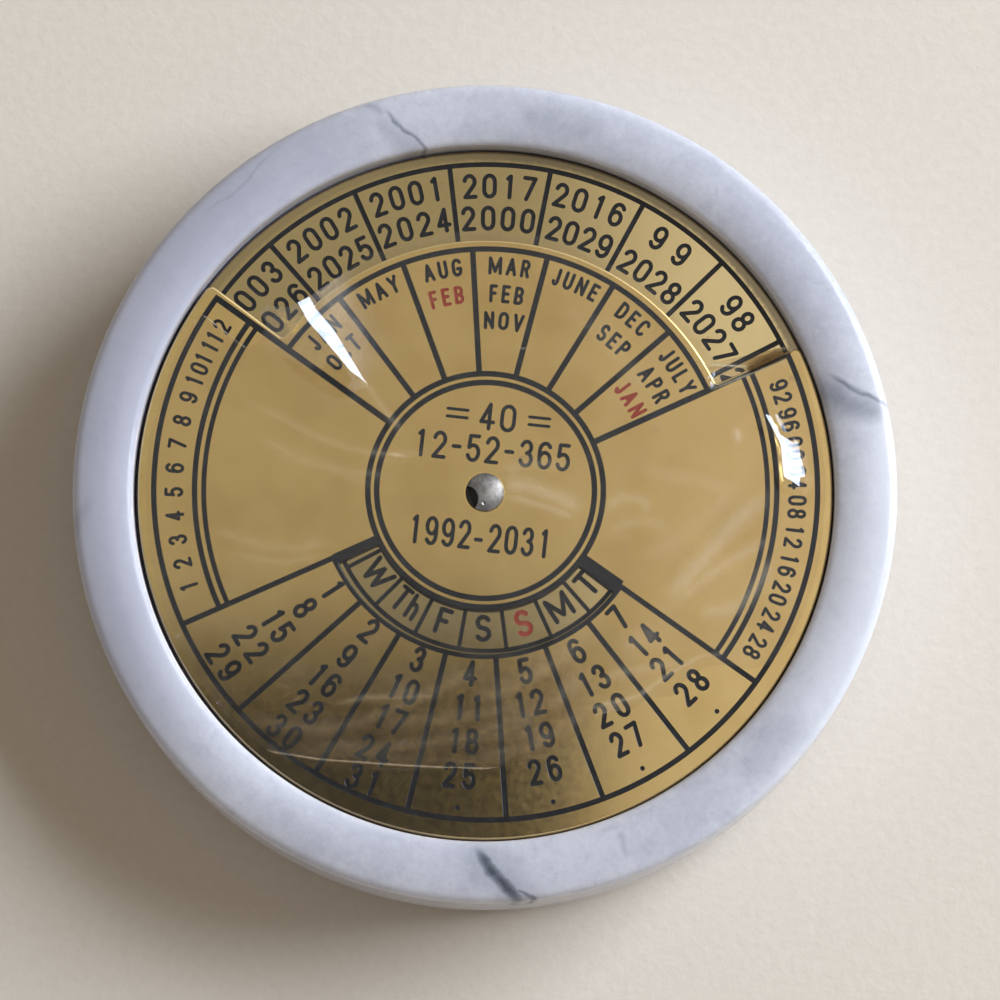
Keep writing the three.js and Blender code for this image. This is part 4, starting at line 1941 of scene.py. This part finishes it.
@dataclass(frozen=True)
class Streak:
    """A soft crease that shows as a pale streak, partly real whitening and partly painted highlight: its
    line, its width and its strength.
    """

    line: tuple[Point, ...]
    width: float
    strength: float

    def share(self, spot: Point) -> float:
        """Gives how strongly the streak shows at a spot.

        Args:
            spot: The spot.

        Returns:
            A share from 0 to the streak's strength.
        """
        best = 0.0
        pairs = list(zip(self.line, self.line[1:]))
        total = sum(math.dist(*pair) for pair in pairs)
        run = 0.0
        for start, end in pairs:
            near = nearest_on_line(start, end, spot)
            away = math.dist(near, spot) / self.width
            if away < 2.0:
                place = (run + math.dist(start, near)) / total
                ends = min(1.0, 6 * place + 0.15, 6 * (1 - place) + 0.15)
                best = max(best, ends * math.exp(-3.0 * away * away))
            run += math.dist(start, end)
        return best * self.strength


OUTLINE = points_of(
    "-58.2,.8 -57.4,.835 -55.2,.83 -53.4,.79 -50,.765 -40,.758 -30,.766 -20,.757 -10,.764 0,.758 10,.766 "
    "20,.758 30,.765 40,.758 50,.764 54.7,.776 56.8,.82 57.4,.86 57.1,.91 57.6,.96 58.4,.985 61,.988 "
    "67,.982 74,.978 82,.981 90,.977 98,.98 106,.976 112,.968 117,.93 119.5,.86 122,.815 127,.79 131,.8 "
    "135,.76 140,.755 144,.73 148,.725 152,.745 157,.765 163,.785 169,.79 175,.8 181,.8 187,.825 193,.85 "
    "199,.885 205,.925 210,.955 216,.974 224,.98 232,.976 240,.981 248,.977 256,.98 264,.976 272,.98 "
    "280,.977 288,.98 294,.978 296.2,.97 296,.9 295.4,.82 296.5,.79"
)
CRINKLES = (
    Crinkle(
        points_of(
            "-22.77,18.72 -21.53,19.41 -20.38,17.88 -18.59,16.27 -16.96,14.2 -15,11.61 -14.09,10.53 "
            "-16.14,11.76 -17.71,13.28 -19.58,15.04 -21.28,16.54"
        ),
        (0.44, 0.26),
        6.0,
    ),
    Crinkle(
        points_of(
            "29.6,11.65 30.1,11.62 30.97,10.51 31.4,9.7 32.08,9.42 33.69,8.71 33.96,7.26 34.1,5.9 "
            "34.06,4.24 33.01,4.79 32.28,5.04 31.89,7.04 31.63,8.49 30.95,9.6 30.5,10.3"
        ),
        (0.44, 0.17),
        0.4,
    ),
)
# Pale film streaks, partly painted highlight: width, strength, then the points of the line.
STREAK_TABLE = """
1.1 .036 -24,-27.5 -19.2,-27.7 -14.7,-27.8 -10.4,-26.3 -5.4,-23.6 -1.4,-21.2 2.8,-18.6
.5 .079 -13.6,-24.8 -10.6,-23.8 -6.5,-23.3 -2.6,-22.8
1.3 .036 -8.9,-26.5 -2.4,-25.3 6.3,-23.2 10.4,-20.6
1.2 .036 -15.7,-29.4 -9,-29.3 -.7,-27.3 6.6,-25.9 10.3,-23
.9 .056 -29,-7.3 -23.5,-8.4 -19.6,-8.3 -16.3,-7
.7 .056 -26.8,-9.6 -21.1,-10.1 -17.2,-8.8
.6 .072 -26.6,7 -22.8,5.8 -19.2,4.2 -15.2,3.2 -10.8,3 -6.5,3.8
.8 .056 -25.3,3.5 -20.6,1.5 -14.9,.6 -10.3,.8
.6 .048 -22.9,1.5 -17.2,.7 -12,-.7
.3 .375 -11,3.1 -9,3
.12 .525 -34.2,17.1 -27.8,13.1
.6 .096 -14.2,10.6 -11.8,7.7 -9.7,5.7
.22 .45 1.8,16.2 2.8,16.3
.7 .3 26.3,10.1 26.8,9.1 26.8,8.2
1.4 .182 1.9,1.2 4.9,1.1 8.2,.2 10.7,-.7
.8 .156 2.5,-.2 6.1,-.7 10.1,-1.7
.9 .078 1.4,2.6 4.5,3.8 8.9,3.9
.8 .12 13.2,-.3 14.9,1.2 17.3,1 18,-.6
.8 .072 14.2,-2.6 17.2,-1.2 20.3,-1.7
1.5 .192 21.1,-9.6 23.2,-6.4 25.1,-3.7 27.5,-.3 30.6,3.1
1 .144 22,-9.7 25.4,-6.2 29.4,-3.1 31.3,-1.9
1.3 .144 24.5,-10.8 28.5,-9.7 30.6,-7.1 31.8,-4
1.8 .06 17.6,-5.5 21.7,-2.9 25.7,1.4 28,5.5
.35 .154 13.1,-22.7 18.8,-20.5 22.1,-17.6 25.2,-15.4 27.6,-14.9
.8 .098 14.7,-19.5 16.6,-18.2 20.9,-16.8 23.1,-16.2
1.6 .05 .8,-22.7 4,-21.6 7.2,-19.7 10.1,-17.3 11.8,-15.3 13.2,-13.5
.8 .022 -3.2,-16.6 1.3,-17.7 6.8,-17.7 11.1,-16.1
1.4 .043 1.2,-26.5 6.2,-24.6 10.1,-21.7 12.4,-18.4
1.2 .043 1.5,-29.2 8,-27.2 11.3,-24.6 13.8,-21.6
.13 .21 -22.9,-30.5 -18.9,-30.8 -14.6,-31 -6.1,-30.7 -.4,-30.4 5.2,-29.9 8.9,-28.6 11.6,-27.2 13.4,-25.3
.9 .022 -18.8,-30 -14.5,-30.2 -6,-29.9 -.3,-29.6 4.9,-29.1 8.4,-27.8
1.3 .058 7.4,-26.6 9.9,-25.7
1.3 .084 14.6,-23.3 17,-21.7
1.3 .05 -8,-22.6 -5.4,-23.2
2.2 .07 16.5,-15.4 20.4,-13
.1 .495 -17.9,-24.6 -17.7,-24.4
.1 .495 -19.4,-23.6 -19.2,-23.6
.1 .44 -16.6,-25.2 -16.4,-25.1
.12 .33 -24.4,-30 -22,-30
1.4 .06 16.6,4.2 23.2,3.9 28.3,2.2
1.6 .04 5.9,21.8 10.6,19 16.9,12
.8 .08 -19.1,19.1 -16.7,17.4 -15.2,16.2
.16 .6 22.5,16.6 24.9,16.8 27.3,16.9 28.8,17.9 30.3,19.2 32.5,19.7
.16 .338 23.4,13.9 26.7,15.7 27.8,16.3 30.9,18.1 31.5,19
"""
STREAKS = tuple(
    Streak(points_of(line), float(width), float(strength))
    for width, strength, line in (row.split(" ", 2) for row in STREAK_TABLE.strip().split("\n"))
)
FLAP = points_of(
    "22.52,16.59 24.91,16.84 27.32,16.93 28.76,17.86 30.26,19.23 32.52,19.69 31.49,19.03 30.93,18.09 "
    "27.82,16.33 26.68,15.66 23.36,13.87"
)
FLAP_SHADOW = points_of("27.32,16.93 28.76,17.86 30.27,19.12 31.28,18.9 30.93,18.09 27.82,16.33")


@dataclass(frozen=True)
class ClearFilm:
    """The clear film that is still stuck on the plate, crinkled, and torn along its lower side."""

    plate: Span
    solid: Span
    thickness: float = 0.045
    gap: float = 0.015
    grid: float = 0.85
    hole_radius: float = 2.4
    edge_curl: float = 0.02
    curl_width: float = 0.8

    def outline(self) -> list[Point]:
        """Gives the film's outline as a smooth curve through the points of the table.

        Returns:
            A closed outline that runs counter-clockwise.
        """
        corners = [Vector(dial_point(a, share * self.plate.radius)) for a, share in OUTLINE]
        points: list[Point] = []
        count = len(corners)
        for i in range(count):
            p0, p1, p2, p3 = (corners[(i + k) % count] for k in (-1, 0, 1, 2))
            steps = max(1, round((p2 - p1).length / 0.6))
            for t in [j / steps for j in range(steps)]:
                second, third = 2 * p0 - 5 * p1 + 4 * p2 - p3, 3 * p1 - p0 - 3 * p2 + p3
                spot = 0.5 * (2 * p1 + (p2 - p0) * t + second * t**2 + third * t**3)
                wave = 0.05 * noise.noise(Vector((spot.x * 0.9, spot.y * 0.9, 3.0)))
                points.append(tuple(spot + spot.normalized() * wave))
        return in_order(points, points)

    def crease_points(self) -> tuple[list[Point], list[tuple[int, int]]]:
        """Gives points along the streaks' middles and sides, so that the mesh follows them.

        Returns:
            The points, and the edges between them by their numbers.
        """
        points: list[Point] = []
        edges: list[tuple[int, int]] = []
        for streak in STREAKS:
            for offset in (-1.2, -0.55, 0.0, 0.55, 1.2):
                first = len(points)
                for i, (start, end) in enumerate(zip(streak.line, streak.line[1:])):
                    along = (Vector(end) - Vector(start)).normalized()
                    side = Vector((-along.y, along.x)) * offset * streak.width
                    steps = max(1, round(math.dist(start, end) / 0.9))
                    for j in range(steps + (i == len(streak.line) - 2)):
                        points.append(tuple(Vector(start).lerp(Vector(end), j / steps) + side))
                edges += [(k, k + 1) for k in range(first, len(points) - 1)]
        return points, edges

    def height(self, spot: Point, border: Sequence[Point]) -> float:
        """Gives the height of the film's underside over the plate.

        Args:
            spot: A point of the film.
            border: The film's outline.

        Returns:
            The height.
        """
        lifted = max(crinkle.height(spot) for crinkle in CRINKLES)
        pressed = 0.04 * (0.5 + noise.noise(Vector((spot[0] * 0.28, spot[1] * 0.28, 0.0))))
        ridge = max(streak.share(spot) for streak in STREAKS)
        away = min(math.dist(spot, other) for other in border)
        curl = max(0.0, 1 - away / self.curl_width) ** 2 * self.edge_curl
        curl *= 0.6 + 0.9 * abs(noise.noise(Vector((spot[0] * 0.5, spot[1] * 0.5, 9.0))))
        return self.gap + lifted + max(pressed, 0.0) + min(ridge, 0.3) * 0.25 + curl

    def build(self) -> None:
        """Makes the film and the strip of it that is folded back at its upper right corner."""
        finish = FilmFinish().material()
        border = self.outline()
        facets = [crinkle.outline for crinkle in CRINKLES]
        points, loops = numbered([border, circle(self.hole_radius, 10.0), *facets])
        lines, edges = self.crease_points()
        edges = [(a + len(points), b + len(points)) for a, b in edges]
        points += [Vector(p) for p in lines]
        dice = random.Random(4)
        rows = int(2 * self.solid.radius / self.grid)
        for j in range(rows + 1):
            for i in range(rows + 1):
                x = -self.solid.radius + (i + 0.5 * (j % 2)) * self.grid + dice.uniform(-0.2, 0.2)
                y = -self.solid.radius + j * self.grid + dice.uniform(-0.2, 0.2)
                if math.hypot(x, y) > self.hole_radius + 0.3:
                    points.append(Vector((x, y)))
        cut, _, triangles, _, _, sources = delaunay_2d_cdt(points, edges, loops, INSIDE_ONLY, 1e-4, True)
        pairs = zip(triangles, sources)
        kept = [(t, max(source) > 1) for t, source in pairs if 0 in source and 1 not in source]
        order = {i: k for k, i in enumerate(sorted({i for triangle, _ in kept for i in triangle}))}
        spots = [tuple(cut[i]) for i in order]
        lows = [self.height(spot, border) for spot in spots]
        # Streak share at each point: partly real whitening, partly painted highlight.
        haze = [max(streak.share(spot) for streak in STREAKS) for spot in spots]
        gleam = [min(1.0, 8 * max(c.height(spot) for c in CRINKLES)) for spot in spots]
        faces = [tuple(order[i] for i in triangle) for triangle, _ in kept]
        made = self.thin_shell("film_sheet", spots, lows, faces, finish, haze=haze, gleam=gleam)
        for k, (_, flat) in enumerate(kept):
            for side in (0, 1):
                made.data.polygons[2 * k + side].use_smooth = not flat
        dress(made, "dial", "film", "protective_film")
        ends = in_order(FLAP, FLAP)
        steps = 5
        fine: list[Vector] = []
        for start, end in zip(ends, [*ends[1:], ends[0]]):
            fine += [Vector(start).lerp(Vector(end), j / steps) for j in range(steps)]
        loop = list(range(len(fine)))
        cut, _, faces, _, _, _ = delaunay_2d_cdt(fine, [], [loop], INSIDE_ONLY, 1e-4, True)
        lows = [0.28 + 0.10 * noise.noise(Vector((p.x, p.y, 5.0))) for p in cut]
        # Painted shade on the folded strip, strongest inside FLAP_SHADOW.
        murk = [max(0.0, 1 - nearest_on(FLAP_SHADOW, tuple(p))[1] / 0.5) for p in cut]
        made = self.thin_shell("film_flap", cut, lows, faces, finish, murk=murk)
        dress(made, "dial", "film")

    def thin_shell(
        self,
        name: str,
        spots: Sequence[Point],
        lows: Sequence[float],
        triangles: Sequence[tuple[int, int, int]],
        finish: Material,
        **marks: list[float],
    ) -> Thing:
        """Makes a closed thin sheet of film with sharp rims.

        Args:
            name: The piece's name.
            spots: Its points on the dial.
            lows: The height of each point's underside over the plate.
            triangles: Its triangles, two faces each in the piece, which come first.
            finish: Its material.
            marks: The values of an attribute at each point, by its name.

        Returns:
            The piece.
        """
        shell = Shell()
        count = len(spots)
        for lift in (0.0, self.thickness):
            shell.points += [(x, y, self.plate.top + low + lift) for (x, y), low in zip(spots, lows)]
        for a, b, c in triangles:
            shell.face((a + count, b + count, c + count), 0)
            shell.face((c, b, a), 0)
        owner = {edge for a, b, c in triangles for edge in ((a, b), (b, c), (c, a))}
        rim = [edge for edge in owner if edge[::-1] not in owner]
        for a, b in rim:
            shell.face((a, b, b + count, a + count), 0)
        made = shell.piece(name, [finish], smooth=True)
        sharp = {tuple(sorted(edge)) for edge in [*rim, *[(a + count, b + count) for a, b in rim]]}
        for edge in made.data.edges:
            edge.use_edge_sharp = tuple(sorted(edge.vertices)) in sharp
        for mark, values in marks.items():
            layer = made.data.attributes.new(mark, "FLOAT", "POINT")
            layer.data.foreach_set("value", values + values)
        return made


# Studio.


@dataclass(frozen=True)
class Studio:
    """The floor, the lamps and the camera."""

    pivot_height: float
    distance: float = 650.0
    tilt: float = 7.5
    dial_turn: float = 6.1
    lens: float = 214.0
    aim: Point = (1.64, -0.82)
    key_azimuth: float = 67.0
    key_elevation: float = 32.5
    key_distance: float = 1200.0
    key_size: float = 800.0
    key_power: float = 23.6
    key_colour: Colour = (0.845, 0.917, 1.0)
    fill_azimuth: float = 232.0
    card_height: float = 300.0
    card_patch: tuple[Point, Point] = ((-60.0, -80.0), (11.3, -9.5))
    card_fade: float = 13.5
    patch_aim: Point = (78.0, 68.0)

    @property
    def up(self) -> Vector:
        """The direction on the desk that is up in the picture."""
        return Vector((*dial_point(-self.dial_turn, 1.0), 0.0))

    @property
    def right(self) -> Vector:
        """The direction on the desk that is right in the picture."""
        return Vector((*dial_point(90.0 - self.dial_turn, 1.0), 0.0))

    def towards(self, azimuth: float, elevation: float) -> Vector:
        """Gives a direction from the dial.

        Args:
            azimuth: Degrees clockwise from the picture's top.
            elevation: Degrees over the desk.

        Returns:
            The direction, one long.
        """
        beside, ahead = dial_point(azimuth, 1.0)
        rise, level = dial_point(elevation, 1.0)
        return (self.up * ahead + self.right * beside) * level + Vector((0.0, 0.0, rise))

    def camera(self) -> None:
        """Makes the camera."""
        pivot = Vector((0.0, 0.0, self.pivot_height))
        spot = pivot + self.towards(HALF_TURN, 90.0 - self.tilt) * self.distance
        target = pivot + self.right * self.aim[0] + self.up * self.aim[1]
        back = (spot - target).normalized()
        side = self.up.cross(back).normalized()
        data = bpy.data.cameras.new("camera")
        data.lens = self.lens
        data.sensor_width = 36.0
        data.clip_start = 0.01
        data.clip_end = 20.0
        made = in_scene(bpy.data.objects.new("camera", data))
        turned = Matrix((side, back.cross(side), back)).transposed().to_4x4()
        made.matrix_world = Matrix.Translation(spot * MM) @ turned
        bpy.context.scene.camera = made

    def key_lamp(self) -> None:
        """Makes the large soft lamp."""
        towards = self.towards(self.key_azimuth, self.key_elevation)
        data = bpy.data.lights.new("key", "AREA")
        data.shape = "SQUARE"
        data.size = self.key_size * MM
        data.energy = self.key_power
        data.color = self.key_colour
        made = in_scene(bpy.data.objects.new("key", data))
        made.location = towards * self.key_distance * MM
        made.rotation_euler = towards.to_track_quat("Z", "Y").to_euler()
        made.visible_camera = False

    def floor(self) -> None:
        """Makes the pale floor, with a faint plaster-like texture."""
        paint = Paint("floor")
        grain = paint.noise(0.8, 6.0, 0.6)
        base = paint.mix((0.70, 0.636, 0.562), (paint.level(grain, 0.3, 0.7), (0.74, 0.676, 0.60)))
        finish = paint.surface(paint.principled(base, 0.85, paint.bump(grain, 0.06)))
        shell = Shell()
        reach, count = 2500.0, 8
        side = [reach * (2 * i / count - 1) for i in range(count + 1)]
        shell.ring([(x, y) for y in side for x in side], 0.0)
        for j in range(count):
            for i in range(count):
                a = j * (count + 1) + i
                shell.face((a, a + 1, a + count + 2, a + count + 1), 0)
        shell.piece("floor", [finish])

    def dark_card(self) -> None:
        """Makes a dark card over the desk that only shows in what is glossy."""
        across = self.distance * math.sin(math.radians(self.tilt))
        reach = self.card_height / (self.distance * math.cos(math.radians(self.tilt)))
        (left, low), (right, high) = self.card_patch
        left, right = left + left * reach, right + right * reach
        low, high = low + (low + across) * reach, high + (high + across) * reach
        paint = Paint("card")
        rise = paint.vector("DOT_PRODUCT", paint.place, tuple(self.up))
        fade = paint.smooth(rise, high - self.card_fade * (1 + reach), high)
        colour = paint.mix((0.030, 0.036, 0.065), (fade, (0.44, 0.45, 0.47)))
        finish = paint.surface(paint.add("ShaderNodeEmission", {"Color": colour, "Strength": 1.0}))
        shell = Shell()
        corners = ((left, low), (right, low), (right, high), (left, high))
        spots = [self.right * x + self.up * y for x, y in corners]
        shell.ring([(spot.x, spot.y) for spot in spots], self.pivot_height + self.card_height)
        shell.face((0, 3, 2, 1), 0)
        card = shell.piece("card", [finish])
        for kind in ("camera", "diffuse", "transmission", "shadow"):
            setattr(card, f"visible_{kind}", False)

    def world(self) -> None:
        """Makes the room: pale to the eye and in gloss, with a low, warm light from all round."""
        made = bpy.data.worlds.new("room")
        bpy.context.scene.world = made
        made.use_nodes = True
        made.node_tree.nodes.clear()
        writer = NodeWriter(made.node_tree)
        rays = writer.add("ShaderNodeLightPath").outputs
        seen = writer.maths("MAXIMUM", rays["Is Glossy Ray"], rays["Is Transmission Ray"])
        seen = writer.maths("MAXIMUM", seen, rays["Is Camera Ray"])
        heading = writer.add("ShaderNodeTexCoord").outputs["Generated"]
        sideways = writer.add("ShaderNodeSeparateXYZ", {0: heading}).outputs["X"]
        patch = writer.vector("DOT_PRODUCT", heading, tuple(self.towards(*self.patch_aim)))
        pale = writer.mix(
            (0.455, 0.445, 0.43),
            (writer.level(sideways, 0.0, 0.03), (0.65, 0.65, 0.72)),
            (writer.level(patch, 0.955, 0.985), (1.9, 1.8, 1.55)),
        )
        facing = writer.vector("DOT_PRODUCT", heading, tuple(self.towards(self.fill_azimuth, 0.0)))
        soft = writer.mix((1.0, 0.84, 0.60), (writer.level(facing, 0.35, 0.95), (2.2, 2.1, 2.0)))
        ambient = writer.add("ShaderNodeBackground", {"Color": soft, "Strength": 0.235})
        shown = writer.add("ShaderNodeBackground", {"Color": pale, "Strength": 1.0})
        both = writer.add("ShaderNodeMixShader", {0: seen, 1: ambient, 2: shown})
        writer.add("ShaderNodeOutputWorld", {"Surface": both})

    def build(self) -> None:
        """Makes the floor, the lamps, the room and the camera."""
        self.floor()
        self.dark_card()
        self.world()
        self.key_lamp()
        self.camera()
        bpy.context.scene.view_settings.view_transform = "Standard"


def main() -> None:
    """Builds the calendar and its studio."""
    logging.basicConfig(level=logging.INFO, format="%(message)s")
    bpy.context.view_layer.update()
    plate = replace(Span.of("month_plate"), radius=PLATE_RADIUS)
    Studio(plate.top).build()
    turner = Turner(turning_tree())
    adhesive = Span.of("adhesive_ring")
    MarbleBody(turner, Span.of("marble_body"), Span.of("felt_pad"), plate, adhesive.bottom).build()
    small = [Span.of(node) for node in ("pivot_rivet", "spacer_washer", "tail_washer")]
    RivetSet(turner, *small, adhesive, plate).build()
    black = EnamelFinish("enamel_black", (0.005, 0.005, 0.006), (0.014, 0.014, 0.015)).material()
    red = EnamelFinish("enamel_red", (0.30, 0.040, 0.022), (0.34, 0.07, 0.045)).material()
    YearDisc(Span.of("year_disc"), black, red).build()
    MonthPlate(plate, black, red).build()
    ClearFilm(plate, Span.of("protective_film")).build()


if __name__ == "__main__":
    main()
